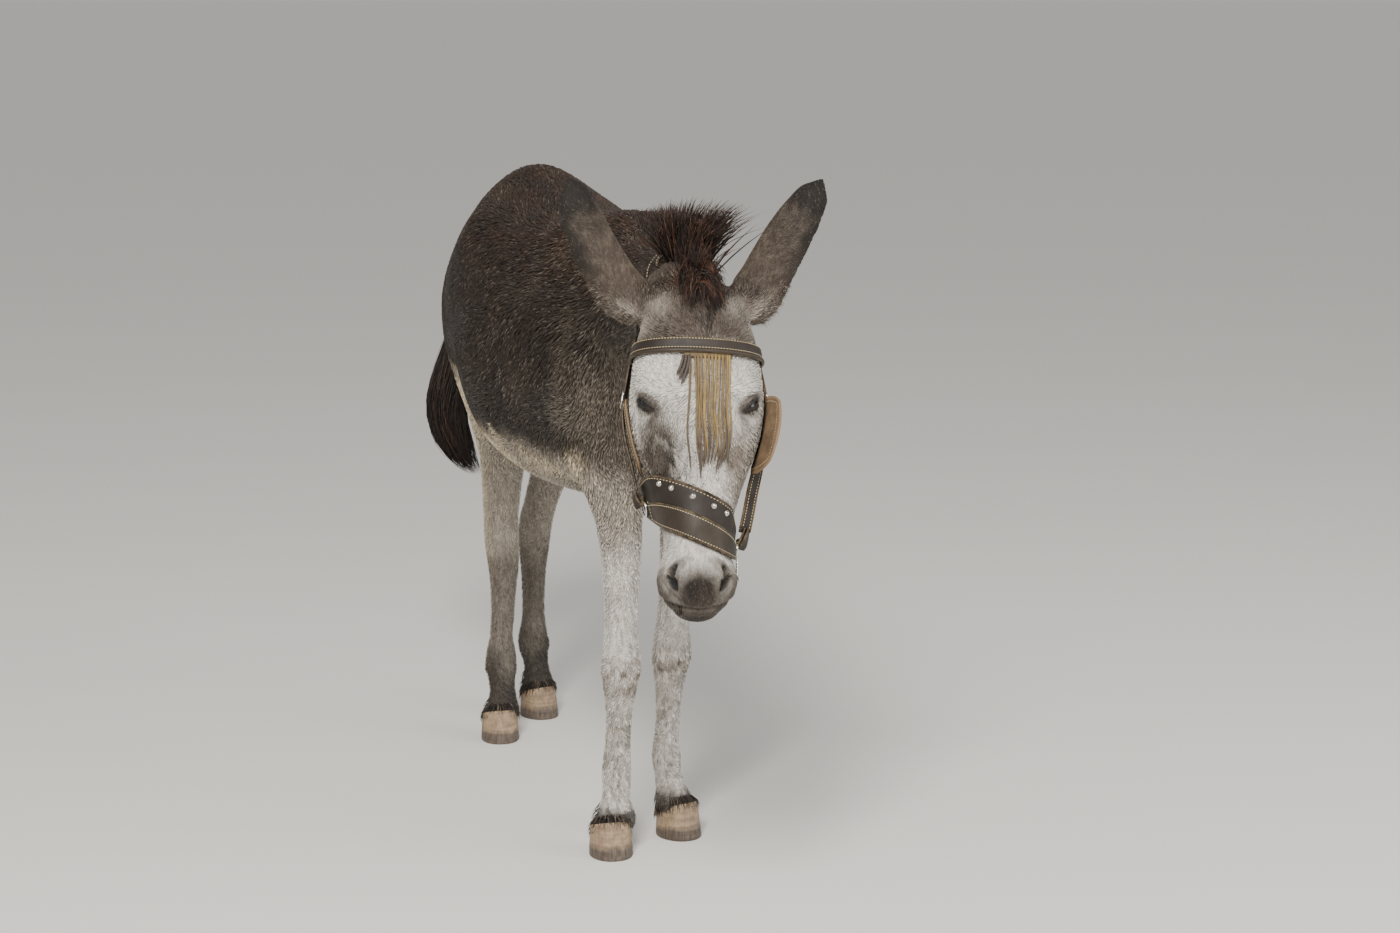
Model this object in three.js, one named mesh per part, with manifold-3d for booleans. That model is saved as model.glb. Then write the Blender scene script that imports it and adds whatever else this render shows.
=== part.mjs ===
// A donkey standing with its head lowered, wearing a leather driving bridle.
// Millimetres, +Z up. The donkey faces -Y and its left side is +X.
import * as THREE from "three";
import { mergeVertices } from "three/addons/utils/BufferGeometryUtils.js";
import Module from "manifold-3d";

const wasm = await Module();
wasm.setup();

// ---------------------------------------------------------------- driving dimensions
const WITHERS = 1228; // height of the withers
const CROUP = 1280; // height of the croup
const BACK = 1206; // lowest point of the back
const BELLY = 640; // lowest point of the belly
const RUMP_Y = 640; // rearmost point of the buttocks
const BREAST_Y = -505; // foremost point of the breast
const BARREL_HALF = 250; // half the width of the barrel
const SHOULDER_HALF = 190; // half the width over the shoulders
const GAP = 0.4; // clearance between touching pieces
const CUT = 0.6; // thickness of the cuts that part the body
const FAIR = 1; // faces smaller than this are merged into their neighbours

const HEAD_LENGTH = 592; // top of the head to the lower lip
const HEAD_HALF = 112; // half the width over the eye sockets
const HEAD_TOP = [-74, -872, 1172]; // the top of the head, in the body's frame
const HEAD_YAW = THREE.MathUtils.degToRad(-16); // turned to the donkey's right
const HEAD_PITCH = THREE.MathUtils.degToRad(-22); // nose forward of plumb
const HEAD_ROLL = THREE.MathUtils.degToRad(1.2); // tilted to the donkey's left

const EAR_THICKNESS = 6;
const EYE_RADIUS = 19;

// ---------------------------------------------------------------- materials
const finish = (color, roughness, metalness = 0) =>
  new THREE.MeshStandardMaterial({ color, roughness, metalness });
const coat = finish(0x4a3d36, 0.9);
const paleCoat = finish(0xa89c90, 0.9);
const darkHair = finish(0x2a1d18, 0.85);
const horn = finish(0x8a7460, 0.6);
const wetEye = finish(0x1c1410, 0.15);
const leather = finish(0x4b4136, 0.6);
const tanLeather = finish(0xa5793f, 0.65);
const nickel = finish(0xc8c4ba, 0.3, 1);

// ---------------------------------------------------------------- solids
const vec = (p) => new THREE.Vector3(...p);

// The closed solid that a geometry's merged faces bound.
function solid(geometry) {
  const bare = geometry.index ? geometry.toNonIndexed() : geometry.clone();
  for (const name of Object.keys(bare.attributes)) {
    if (name !== "position") bare.deleteAttribute(name);
  }
  const merged = mergeVertices(bare, 1e-3);
  return new wasm.Manifold(
    new wasm.Mesh({
      numProp: 3,
      vertProperties: merged.attributes.position.array,
      triVerts: new Uint32Array(merged.index.array),
    }),
  );
}

function geometryOf(body) {
  const made = body.getMesh();
  const places = new Float32Array(made.numVert * 3);
  for (let i = 0; i < made.numVert; i++) {
    places.set(made.vertProperties.subarray(i * made.numProp, i * made.numProp + 3), i * 3);
  }
  const geometry = new THREE.BufferGeometry();
  geometry.setAttribute("position", new THREE.BufferAttribute(places, 3));
  geometry.setIndex(new THREE.BufferAttribute(made.triVerts, 1));
  return geometry;
}

function named(name, shape, material) {
  const geometry = shape.isBufferGeometry ? shape : geometryOf(shape);
  const mesh = new THREE.Mesh(geometry, material.clone());
  mesh.name = name;
  return mesh;
}

const join = (solids) => solids.reduce((whole, next) => whole.add(next));

// A box of the given size, centred on a point and turned so that its Z axis lies along a normal.
function slab(centre, normal, size) {
  const box = new THREE.BoxGeometry(...size);
  const turn = new THREE.Quaternion().setFromUnitVectors(
    new THREE.Vector3(0, 0, 1),
    vec(normal).normalize(),
  );
  return box.applyQuaternion(turn).translate(...centre);
}

// ---------------------------------------------------------------- lofted forms
// Catmull-Rom through rows of numbers, at t from 0 to 1.
function between(rows, t) {
  const last = rows.length - 1;
  const place = THREE.MathUtils.clamp(t, 0, 1) * last;
  const i = Math.min(Math.floor(place), last - 1);
  const f = place - i;
  const [a, b, c, d] = [i - 1, i, i + 1, i + 2].map((k) => rows[THREE.MathUtils.clamp(k, 0, last)]);
  return b.map((_, k) => {
    const slopeIn = (c[k] - a[k]) / 2;
    const slopeOut = (d[k] - b[k]) / 2;
    const rise = c[k] - b[k];
    return (
      b[k] + f * (slopeIn + f * (3 * rise - 2 * slopeIn - slopeOut + f * (slopeIn + slopeOut - 2 * rise)))
    );
  });
}

const power = (value, exponent) => Math.sign(value) * Math.abs(value) ** exponent;

// A form is a sphere stretched over its stations. Each station is a section: its centre, its half
// width, how far it reaches above and below the centre, and how square its upper and lower halves
// are (2 is an ellipse). "above" is the direction that sections call up.
class Form {
  constructor({ stations, above, axis = null, around, rings, swellings = [] }) {
    Object.assign(this, { stations, above: vec(above), axis: axis && vec(axis), around, rings, swellings });
    this.rows = stations.map((s) => [
      ...s.centre,
      s.side,
      s.up,
      s.down,
      s.squareUp ?? 2,
      s.squareDown ?? 2,
    ]);
  }

  centre(t) {
    return vec(between(this.rows, t).slice(0, 3));
  }

  // The section's own directions at t: along the form, its left side, and up.
  directions(t) {
    const along = this.axis
      ? this.axis.clone()
      : this.centre(t + 0.01).sub(this.centre(t - 0.01)).normalize();
    const up = this.above.clone().addScaledVector(along, -this.above.dot(along)).normalize();
    return { along, up, side: up.clone().cross(along) };
  }

  // A point on the surface. The angle runs from the top of the section towards its left side.
  bare(t, angle) {
    const [x, y, z, side, up, down, squareUp, squareDown] = between(this.rows, t);
    const frame = this.directions(t);
    const [sin, cos] = [Math.sin(angle), Math.cos(angle)];
    const square = 2 / (cos > 0 ? squareUp : squareDown);
    return new THREE.Vector3(x, y, z)
      .addScaledVector(frame.side, Math.max(side, 0) * power(sin, square))
      .addScaledVector(frame.up, Math.max(cos > 0 ? up : down, 0) * power(cos, square));
  }

  point(t, angle) {
    const place = this.bare(t, angle);
    const outward = place.clone().sub(this.centre(t));
    if (outward.length() < 1e-6) return place;
    outward.normalize();
    const moved = place.clone();
    for (const { at, reach, raise } of this.swellings) {
      const away = place.distanceTo(vec(at)) / reach;
      moved.addScaledVector(outward, raise * Math.exp(-away * away));
    }
    return moved;
  }


  geometry() {
    const sphere = new THREE.SphereGeometry(1, this.around, this.rings);
    const { position, uv } = sphere.attributes;
    for (let i = 0; i < position.count; i++) {
      const t = 1 - uv.getY(i);
      const place = this.point(t, 2 * Math.PI * (uv.getX(i) - 0.25));
      position.setXYZ(i, place.x, place.y, place.z);
    }
    return sphere;
  }

  solid(matrix = new THREE.Matrix4()) {
    return solid(this.geometry().applyMatrix4(matrix));
  }
}

// Upright sections across Y: where, the top, the bottom, the half width and the level of that width.
const upright = (y, top, bottom, side, level, squareUp = 2, squareDown = 2) => ({
  centre: [0, y, level],
  side,
  up: top - level,
  down: level - bottom,
  squareUp,
  squareDown,
});

// The same swelling on the left and the right.
const pair = (at, reach, raise) =>
  [1, -1].map((hand) => ({ at: [hand * at[0], at[1], at[2]], reach, raise }));

// ---------------------------------------------------------------- trunk
const trunk = new Form({
  above: [0, 0, 1],
  axis: [0, -1, 0],
  around: 20,
  rings: 18,
  stations: [
    upright(RUMP_Y, 1030, 1030, 0, 1030),
    upright(RUMP_Y - 22, 1120, 900, 92, 1015, 2, 2),
    upright(RUMP_Y - 80, 1174, 820, 144, 1000, 1.9, 2.2),
    upright(RUMP_Y - 160, CROUP - 50, 750, 180, 985, 1.7, 2),
    upright(375, CROUP, 700, 204, 960, 1.7, 2),
    upright(270, CROUP - 22, 664, 226, 930, 1.8),
    upright(140, BACK + 26, BELLY + 4, BARREL_HALF - 4, 890),
    upright(0, BACK, BELLY - 6, BARREL_HALF, 880),
    upright(-130, BACK + 6, BELLY + 2, BARREL_HALF - 24, 880),
    upright(-240, WITHERS - 10, BELLY + 12, SHOULDER_HALF + 22, 890, 1.8),
    upright(-335, WITHERS, BELLY + 24, SHOULDER_HALF, 890, 1.6),
    upright(-420, 1165, BELLY + 50, 165, 890),
    upright(-475, 1060, BELLY + 100, 118, 890),
    upright(BREAST_Y, 880, 880, 0, 880),
  ],
  swellings: [
    ...pair([196, 300, 1150], 95, 16), // point of each hip
    ...pair([150, -440, 900], 90, 16), // point of each shoulder
    ...pair([230, 230, 820], 120, -14), // hollow of each flank
  ],
});

// ---------------------------------------------------------------- neck
const neck = new Form({
  above: [0, 0, 1],
  around: 16,
  rings: 12,
  stations: [
    { centre: [0, -190, 1000], side: 0, up: 0, down: 0 },
    { centre: [-2, -270, 1000], side: 128, up: 214, down: 215 },
    { centre: [-6, -390, 1004], side: 128, up: 206, down: 212 },
    { centre: [-18, -500, 1016], side: 104, up: 184, down: 178 },
    { centre: [-36, -610, 1034], side: 82, up: 160, down: 146 },
    { centre: [-54, -700, 1048], side: 74, up: 138, down: 122 },
    { centre: [-68, -770, 1056], side: 72, up: 120, down: 104 },
    { centre: [-78, -830, 1062], side: 64, up: 104, down: 84 },
    { centre: [-84, -890, 1066], side: 0, up: 0, down: 0 },
  ],
});

// ---------------------------------------------------------------- tail
const tail = new Form({
  above: [0, 1, 0],
  around: 8,
  rings: 15,
  stations: [
    { centre: [0, 590, 1150], side: 0, up: 0, down: 0 },
    { centre: [0, 622, 1132], side: 34, up: 32, down: 40 },
    { centre: [-8, 668, 1080], side: 30, up: 27, down: 30 },
    { centre: [-32, 704, 990], side: 26, up: 24, down: 24 },
    { centre: [-66, 718, 890], side: 26, up: 24, down: 24 },
    { centre: [-100, 712, 800], side: 36, up: 32, down: 32 },
    { centre: [-122, 700, 720], side: 44, up: 38, down: 38 },
    { centre: [-118, 690, 650], side: 42, up: 36, down: 36 },
    { centre: [-92, 684, 590], side: 30, up: 26, down: 26 },
    { centre: [-60, 682, 548], side: 0, up: 0, down: 0 },
  ],
});

// ---------------------------------------------------------------- head, in its own frame
// The head hangs plumb from its top at the origin and faces -Y, until its group poses it.
const headSection = (share, face, jaw, side, level, squareUp = 2.2, squareDown = 2) => ({
  centre: [0, level, -share * HEAD_LENGTH],
  side: side * HEAD_HALF,
  up: level - face,
  down: jaw - level,
  squareUp,
  squareDown,
});
const head = new Form({
  above: [0, -1, 0],
  axis: [0, 0, -1],
  around: 22,
  rings: 26,
  stations: [
    headSection(0, 80, 80, 0, 80),
    headSection(0.02, 42, 125, 0.44, 82),
    headSection(0.07, 12, 158, 0.68, 80),
    headSection(0.15, -4, 190, 0.84, 74, 2.4),
    headSection(0.24, -9, 212, 0.95, 64, 2.4),
    headSection(0.33, -9, 232, 1.0, 58, 2.2, 1.8),
    headSection(0.4, -6, 242, 1.0, 62, 2.1, 1.8),
    headSection(0.48, -2, 238, 0.92, 72, 2.1, 1.8),
    headSection(0.56, 0, 222, 0.79, 78, 2.2, 1.8),
    headSection(0.66, 0, 196, 0.62, 82, 2.2, 1.9),
    headSection(0.76, 0, 170, 0.51, 78),
    headSection(0.85, 3, 150, 0.57, 68),
    headSection(0.91, 12, 144, 0.57, 72),
    headSection(0.96, 34, 136, 0.42, 84),
    headSection(0.99, 62, 116, 0.27, 92),
    headSection(1, 92, 92, 0, 92),
  ],
  swellings: [
    ...pair([84, 6, -206], 26, 9), // brow over each eye
    ...pair([94, 13, -236], 24, 6), // lids
    ...pair([80, 34, -158], 30, -5), // hollow above it
    ...pair([92, 40, -296], 36, 6), // cheekbone
    ...pair([84, 150, -236], 62, 9), // cheek muscle
    ...pair([34, 6, -508], 22, 7), // wing of each nostril
  ],
});

const headGroup = new THREE.Group();
headGroup.position.set(...HEAD_TOP);
headGroup.rotation.set(HEAD_PITCH, HEAD_ROLL, HEAD_YAW, "ZYX");
headGroup.updateMatrix();

// ---------------------------------------------------------------- legs
// Sections of a leg from the top down: height, how far it lies behind its line, half width, and how
// far it reaches forward and back. The line runs from the hoof up to where the leg meets the body.
const foreSections = [
  [1060, 0, 0, 0, 0],
  [1000, -6, 46, 80, 100],
  [880, -4, 76, 112, 118],
  [770, 10, 72, 90, 88],
  [690, 12, 56, 68, 60],
  [620, 10, 44, 52, 45],
  [540, 8, 37, 42, 39],
  [450, 5, 32, 33, 34],
  [400, 3, 37, 37, 33],
  [362, 4, 41, 40, 37],
  [325, 8, 34, 32, 38],
  [270, 14, 26, 25, 31],
  [200, 22, 25, 24, 31],
  [150, 30, 31, 30, 37],
  [112, 20, 27, 27, 30],
  [80, 6, 36, 38, 36],
  [52, 0, 38, 44, 38],
  [30, 0, 0, 0, 0],
];
const hindSections = [
  [1130, -60, 0, 0, 0],
  [1070, -50, 66, 110, 110],
  [950, -50, 94, 165, 158],
  [820, -66, 78, 160, 142],
  [720, -50, 58, 122, 112],
  [625, -8, 49, 74, 72],
  [535, 30, 43, 47, 52],
  [470, 50, 38, 40, 60],
  [420, 54, 39, 42, 55],
  [370, 52, 34, 36, 40],
  [300, 49, 28, 28, 32],
  [210, 46, 27, 27, 33],
  [158, 44, 40, 32, 42],
  [116, 26, 28, 28, 32],
  [80, 6, 36, 38, 36],
  [52, 0, 37, 43, 38],
  [30, 0, 0, 0, 0],
];

// The heights at which each leg's sideways places are listed, from the hoof up.
const LINE_HEIGHTS = [0, 150, 380, 600, 800, 1200];
const legs = {
  foreleg_right: {
    sections: foreSections,
    y: -425,
    top: -392,
    line: [-94, -72, -70, -62, -82, -112],
    turn: -6,
  },
  foreleg_left: {
    sections: foreSections,
    y: -356,
    top: -384,
    line: [66, 52, 54, 70, 86, 112],
    turn: 16,
  },
  hindleg_right: {
    sections: hindSections,
    y: 416,
    top: 470,
    line: [-84, -68, -56, -62, -94, -100],
    turn: -8,
  },
  hindleg_left: {
    sections: hindSections,
    y: 578,
    top: 490,
    line: [52, 54, 58, 80, 100, 100],
    turn: 10,
  },
};

function legLine({ y, top, line }, height) {
  const i = LINE_HEIGHTS.findLastIndex((h) => h <= height);
  const f = THREE.MathUtils.smoothstep(height, LINE_HEIGHTS[i], LINE_HEIGHTS[i + 1]);
  return [
    THREE.MathUtils.lerp(line[i], line[i + 1], f),
    THREE.MathUtils.lerp(y, top, THREE.MathUtils.smoothstep(height, 300, 880)),
  ];
}

const legForm = (leg) =>
  new Form({
    above: [0, -1, 0],
    axis: [0, 0, -1],
    around: 11,
    rings: 25,
    stations: leg.sections.map(([height, behind, side, front, rear]) => {
      const [x, y] = legLine(leg, height);
      return { centre: [x, y + behind, height], side, up: front, down: rear };
    }),
  });

// ---------------------------------------------------------------- hooves
// A hoof's sole is flat on the floor. Its top is one plane, which slopes down from toe to heel.
const HOOF_HALF_WIDTH = 42;
const HOOF_TOE = 52; // sole, forward of the hoof's middle
const HOOF_HEEL = 46;
const CORONET_TOE = 74; // height of the top plane over the middle, at the toe
const CORONET_SLOPE = 0.34;
const coronetHeight = (forward) => CORONET_TOE + CORONET_SLOPE * (forward - 40);

function hoofMatrix({ y, line, turn }) {
  return new THREE.Matrix4()
    .makeRotationZ(THREE.MathUtils.degToRad(turn))
    .setPosition(line[0], y, 0);
}

function hoof(leg) {
  const wall = new THREE.CylinderGeometry(1, 1, 1, 16, 2);
  wall.rotateX(Math.PI / 2);
  const { position } = wall.attributes;
  for (let i = 0; i < position.count; i++) {
    const [sideways, forward, level] = [position.getX(i), -position.getY(i), position.getZ(i) + 0.5];
    const taper = 1 - 0.08 * level;
    const x = HOOF_HALF_WIDTH * taper * power(sideways, 0.9);
    const ahead = (forward > 0 ? HOOF_TOE : HOOF_HEEL) * taper * forward - 10 * level * (1 + forward) * 0.5;
    position.setXYZ(i, x, -ahead, level * (coronetHeight(ahead) - GAP));
  }
  return wall.applyMatrix4(hoofMatrix(leg));
}

// Everything a leg has below the plane of its coronet.
function belowCoronet(leg) {
  const forward = new THREE.Matrix4().makeRotationX(-Math.atan(CORONET_SLOPE));
  const block = new THREE.BoxGeometry(160, 200, 200).translate(0, 0, -100);
  block.applyMatrix4(forward).translate(0, -40, CORONET_TOE);
  return block.applyMatrix4(hoofMatrix(leg));
}

// ---------------------------------------------------------------- ears
// Each ear is a leaf rolled about its own length, in the head's frame. Its back faces forward and
// inward, and it opens outward and back.
const ears = {
  left: { base: [60, 72, -84], tip: [219, 30, 170], bow: [-6, 0, -6], hand: 1 },
  right: { base: [-60, 72, -84], tip: [-222, 44, 170], bow: [-20, 0, -10], hand: -1 },
};
// Along the ear: radius of the roll, and degrees from the middle of its back to each edge.
const earRows = [
  [0, 150],
  [31, 150],
  [42, 142],
  [45, 126],
  [44, 108],
  [45, 95],
  [46, 86],
  [46, 80],
  [44, 76],
  [39, 74],
  [30, 72],
  [0, 70],
];
const EAR_AROUND = 14;

function ear({ base, tip, bow, hand }) {
  const leaf = new THREE.SphereGeometry(1, EAR_AROUND, 12);
  const { position, uv } = leaf.attributes;
  const along = vec(tip).sub(vec(base));
  const lengthways = along.clone().normalize();
  const backward = new THREE.Vector3(0.55 * hand, 1, 0);
  backward.addScaledVector(lengthways, -backward.dot(lengthways)).normalize();
  const sideways = lengthways.clone().cross(backward);
  const half = EAR_AROUND / 2 - 1;
  for (let i = 0; i < position.count; i++) {
    const t = 1 - uv.getY(i);
    const turn = Math.round(uv.getX(i) * EAR_AROUND) % EAR_AROUND;
    const outer = turn <= half;
    const share = (outer ? turn : EAR_AROUND - 1 - turn) / half;
    const [radius, spread] = between(earRows, t);
    const angle = THREE.MathUtils.degToRad((share * 2 - 1) * spread);
    const rim = Math.abs(share * 2 - 1) ** 3;
    const wall = Math.min(EAR_THICKNESS * (1 - 0.5 * rim), radius * 0.6);
    const reach = Math.max(outer ? radius : radius - wall, 0);
    const middle = vec(base).addScaledVector(along, t);
    middle.addScaledVector(vec(bow), Math.sin(Math.PI * t));
    if (t > 1e-6 && t < 1 - 1e-6) {
      middle.addScaledVector(backward, radius * 0.4 - Math.cos(angle) * reach);
      middle.addScaledVector(sideways, Math.sin(angle) * reach);
    }
    position.setXYZ(i, ...middle.toArray());
  }
  return leaf;
}

// ---------------------------------------------------------------- mane
// The mane stands up along the crest of the neck, and the forelock falls between the ears.
const mane = new Form({
  above: [0, 0, 1],
  axis: [0, -1, 0],
  around: 8,
  rings: 14,
  stations: [
    { centre: [0, -330, 1206], side: 0, up: 0, down: 0 },
    { centre: [-3, -380, 1200], side: 15, up: 36, down: 60 },
    { centre: [-14, -480, 1192], side: 17, up: 54, down: 60 },
    { centre: [-32, -590, 1184], side: 18, up: 70, down: 60 },
    { centre: [-50, -680, 1176], side: 19, up: 84, down: 60 },
    { centre: [-58, -740, 1172], side: 23, up: 98, down: 60 },
    { centre: [-60, -790, 1164], side: 27, up: 108, down: 60 },
    { centre: [-66, -830, 1150], side: 28, up: 96, down: 50 },
    { centre: [-72, -858, 1150], side: 0, up: 0, down: 0 },
  ],
});
// In the head's frame.
const forelock = new Form({
  above: [0, -1, 0],
  around: 8,
  rings: 9,
  stations: [
    { centre: [-2, 60, 44], side: 0, up: 0, down: 0 },
    { centre: [-2, 34, 36], side: 24, up: 20, down: 20 },
    { centre: [4, 12, 10], side: 27, up: 16, down: 22 },
    { centre: [12, -2, -24], side: 20, up: 12, down: 20 },
    { centre: [18, -8, -50], side: 12, up: 9, down: 14 },
    { centre: [20, -12, -72], side: 0, up: 0, down: 0 },
  ],
});

// ---------------------------------------------------------------- assembling the flesh
const inHead = (geometry) => geometry.applyMatrix4(headGroup.matrix);
const outHead = (body) => body.transform(headGroup.matrix.clone().invert().elements);

// An eyeball fills its socket, and shows between the lids through an almond-shaped opening.
const EYE = { place: [80, 30, -236], look: [0.62, -0.78, 0.05], slit: [0.75, 0.6, 0.35] };
const OPENING = { long: 17, high: 7.5, deep: 15 };
const sides = { left: 1, right: -1 };
const mirrored = ([x, y, z], hand) => new THREE.Vector3(x * hand, y, z);
const SOCKET = 21.4; // radius of the socket's corners, so that its faces clear the eyeball
const eyeball = (hand) =>
  new THREE.SphereGeometry(EYE_RADIUS, 12, 8).translate(...mirrored(EYE.place, hand));
const socket = (hand) =>
  new THREE.SphereGeometry(SOCKET, 8, 6).translate(...mirrored(EYE.place, hand));

function eyeOpening(hand) {
  const look = mirrored(EYE.look, hand).normalize();
  const slit = mirrored(EYE.slit, hand);
  slit.addScaledVector(look, -slit.dot(look)).normalize();
  const basis = new THREE.Matrix4().makeBasis(slit, look.clone().cross(slit), look);
  const almond = new THREE.SphereGeometry(1, 8, 6).scale(OPENING.long, OPENING.high, OPENING.deep);
  return almond
    .applyMatrix4(basis)
    .translate(...mirrored(EYE.place, hand).addScaledVector(look, EYE_RADIUS));
}

const body = join([
  trunk.solid(),
  neck.solid(),
  tail.solid(),
  head.solid(headGroup.matrix),
  ...Object.values(legs).map((leg) => legForm(leg).solid()),
]);
const whole = join([body, ...Object.values(ears).map((each) => solid(inHead(ear(each))))])
  .subtract(join(Object.values(legs).map((leg) => solid(belowCoronet(leg)))))
  .subtract(
    join(
      Object.values(sides).flatMap((hand) => [
        solid(inHead(socket(hand))),
        solid(inHead(eyeOpening(hand))),
      ]),
    ),
  );

// Thin cuts that part the body: a place, the direction across the cut, and the size of the slab.
const cuts = [
  [[-64, -728, 1040], [0.12, -1, 0.1], [420, 560, CUT]],
  [[-6, -452, 1020], [0, -0.93, 0.37], [700, 720, CUT]],
  [[-10, 672, 1074], [-0.12, 0.48, -0.87], [74, 74, CUT]],
  [[-66, 718, 890], [-0.35, 0.05, -1], [140, 140, CUT]],
  ...Object.values(legs).map((leg) => [[...legLine(leg, 640), 636], [0, 0, 1], [200, 300, CUT]]),
];
const parted = whole.simplify(FAIR).subtract(join(cuts.map((cut) => solid(slab(...cut)))));

// The separate bodies, each called after the nearest of these places.
const places = {
  trunk: [0, 60, 940],
  neck: [-40, -600, 1030],
  head: [-120, -930, 960],
  tail: [-20, 690, 1000],
  tail_switch: [-110, 705, 720],
  foreleg_right: [-84, -410, 350],
  foreleg_left: [50, -360, 350],
  hindleg_right: [-70, 450, 350],
  hindleg_left: [64, 620, 350],
};
const flesh = {};
for (const piece of parted.decompose()) {
  const box = piece.boundingBox();
  const centre = new THREE.Box3(vec(box.min), vec(box.max)).getCenter(new THREE.Vector3());
  const [name] = Object.entries(places).sort(
    (a, b) => vec(a[1]).distanceTo(centre) - vec(b[1]).distanceTo(centre),
  )[0];
  flesh[name] = flesh[name] ? flesh[name].add(piece) : piece;
}

// ---------------------------------------------------------------- bridle, in the head's frame
// A strap lies on the skin. "lay" gives the ray that finds the skin under a place along and across
// the strap; along, across and outward are right-handed.
const skin = new THREE.Mesh(geometryOf(outHead(neck.solid().add(head.solid(headGroup.matrix)))));
const ray = new THREE.Raycaster();
const FAR = 400;

function strap({ lay, segments, rows = 2, lift = 2.4, loose = () => 0, thickness = 4, taut = false }) {
  const grid = [];
  for (let i = 0; i <= segments; i++) {
    grid.push([]);
    for (let j = 0; j <= rows; j++) {
      const { towards, inward } = lay(i / segments, j / rows - 0.5);
      ray.set(towards.clone().addScaledVector(inward, -FAR), inward);
      grid[i].push({ height: FAR - ray.intersectObject(skin)[0].distance, towards, inward });
    }
  }
  if (taut) stretch(grid);
  const box = new THREE.BoxGeometry(1, 1, 1, segments, rows, 1);
  const { position } = box.attributes;
  for (let k = 0; k < position.count; k++) {
    const i = Math.round((position.getX(k) + 0.5) * segments);
    const j = Math.round((position.getY(k) + 0.5) * rows);
    const { height, towards, inward } = grid[i][j];
    const rise = height + lift + loose(i / segments) + (position.getZ(k) + 0.5) * thickness;
    const place = towards.clone().addScaledVector(inward, -rise);
    position.setXYZ(k, place.x, place.y, place.z);
  }
  return box;
}

// Pulls a strap straight over the hollows that it crosses.
function stretch(grid) {
  for (let j = 0; j < grid[0].length; j++) {
    const heights = grid.map((row) => row[j].height);
    for (let i = 0; i < grid.length; i++) {
      for (let a = 0; a < i; a++) {
        for (let b = i + 1; b < grid.length; b++) {
          const bridge = THREE.MathUtils.lerp(heights[a], heights[b], (i - a) / (b - a));
          grid[i][j].height = Math.max(grid[i][j].height, bridge);
        }
      }
    }
  }
}

// A strap around the head: the ring's centre, its tilt about the face's own forward line, its
// lean forward, and the degrees from the front where it starts and ends.
function girth({ centre, tilt = 0, lean = 0, from, to, width, ends = width, ...rest }) {
  const turn = new THREE.Euler(THREE.MathUtils.degToRad(lean), THREE.MathUtils.degToRad(tilt), 0);
  const lay = (along, across) => {
    const angle = THREE.MathUtils.degToRad(THREE.MathUtils.lerp(from, to, along));
    const inward = new THREE.Vector3(-Math.sin(angle), Math.cos(angle), 0).applyEuler(turn);
    const wide = THREE.MathUtils.lerp(ends, width, Math.sin(Math.PI * along) ** 0.8);
    const towards = new THREE.Vector3(0, 0, across * wide).applyEuler(turn).add(vec(centre));
    return { towards, inward };
  };
  return strap({ lay, ...rest });
}

// A strap down one side of the head, through places listed as [back, up].
function sideStrap({ hand, path, width, ...rest }) {
  const lay = (along, across) => {
    const [back, up] = between(path, along);
    const [backNext, upNext] = between(path, along + 0.02);
    const [backLast, upLast] = between(path, along - 0.02);
    const run = Math.hypot(backNext - backLast, upNext - upLast);
    const shift = (across * width * hand) / run;
    const towards = new THREE.Vector3(
      0,
      back - shift * (upNext - upLast),
      up + shift * (backNext - backLast),
    );
    return { towards, inward: new THREE.Vector3(-hand, 0, 0) };
  };
  return strap({ lay, taut: true, ...rest });
}

// How far the skin lies to one side of the head's middle, at a place back and up.
function halfWidthAt(hand, back, up) {
  ray.set(new THREE.Vector3(hand * FAR, back, up), new THREE.Vector3(-hand, 0, 0));
  const [hit] = ray.intersectObject(skin);
  return hit ? FAR - hit.distance : 0;
}

// How far out the cheekpiece runs, straight from the cheek to the end of the noseband.
const cheekLine = (hand, up) =>
  THREE.MathUtils.lerp(halfWidthAt(hand, 112, -200), halfWidthAt(hand, 96, -400) + 10, (up + 200) / -200);

// A rounded leather plate beside the eye, held under the cheekpiece.
const BLINKER = { wide: 96, tall: 134, thick: 4, corner: 0.42, up: -276 };
function blinker(hand, middle, flare) {
  const plate = new THREE.BoxGeometry(1, 1, 1, 1, 4, 5);
  const { position } = plate.attributes;
  for (let i = 0; i < position.count; i++) {
    const [depth, v, w] = [position.getX(i) + 0.5, position.getY(i) * 2, position.getZ(i) * 2];
    const back = middle + (v * Math.sqrt(1 - BLINKER.corner * w * w) * BLINKER.wide) / 2;
    const up = BLINKER.up + (w * Math.sqrt(1 - BLINKER.corner * v * v) * BLINKER.tall) / 2;
    const ahead = (middle + BLINKER.wide / 2 - back) / BLINKER.wide;
    const rear = cheekLine(hand, up);
    const stands = rear + flare * Math.max(ahead - 0.28, 0) ** 1.2;
    const out = Math.max(stands, halfWidthAt(hand, back, up)) + 4;
    const layer = hand > 0 ? depth : 1 - depth;
    position.setXYZ(i, hand * (out + layer * BLINKER.thick), back, up);
  }
  return plate;
}

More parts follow.
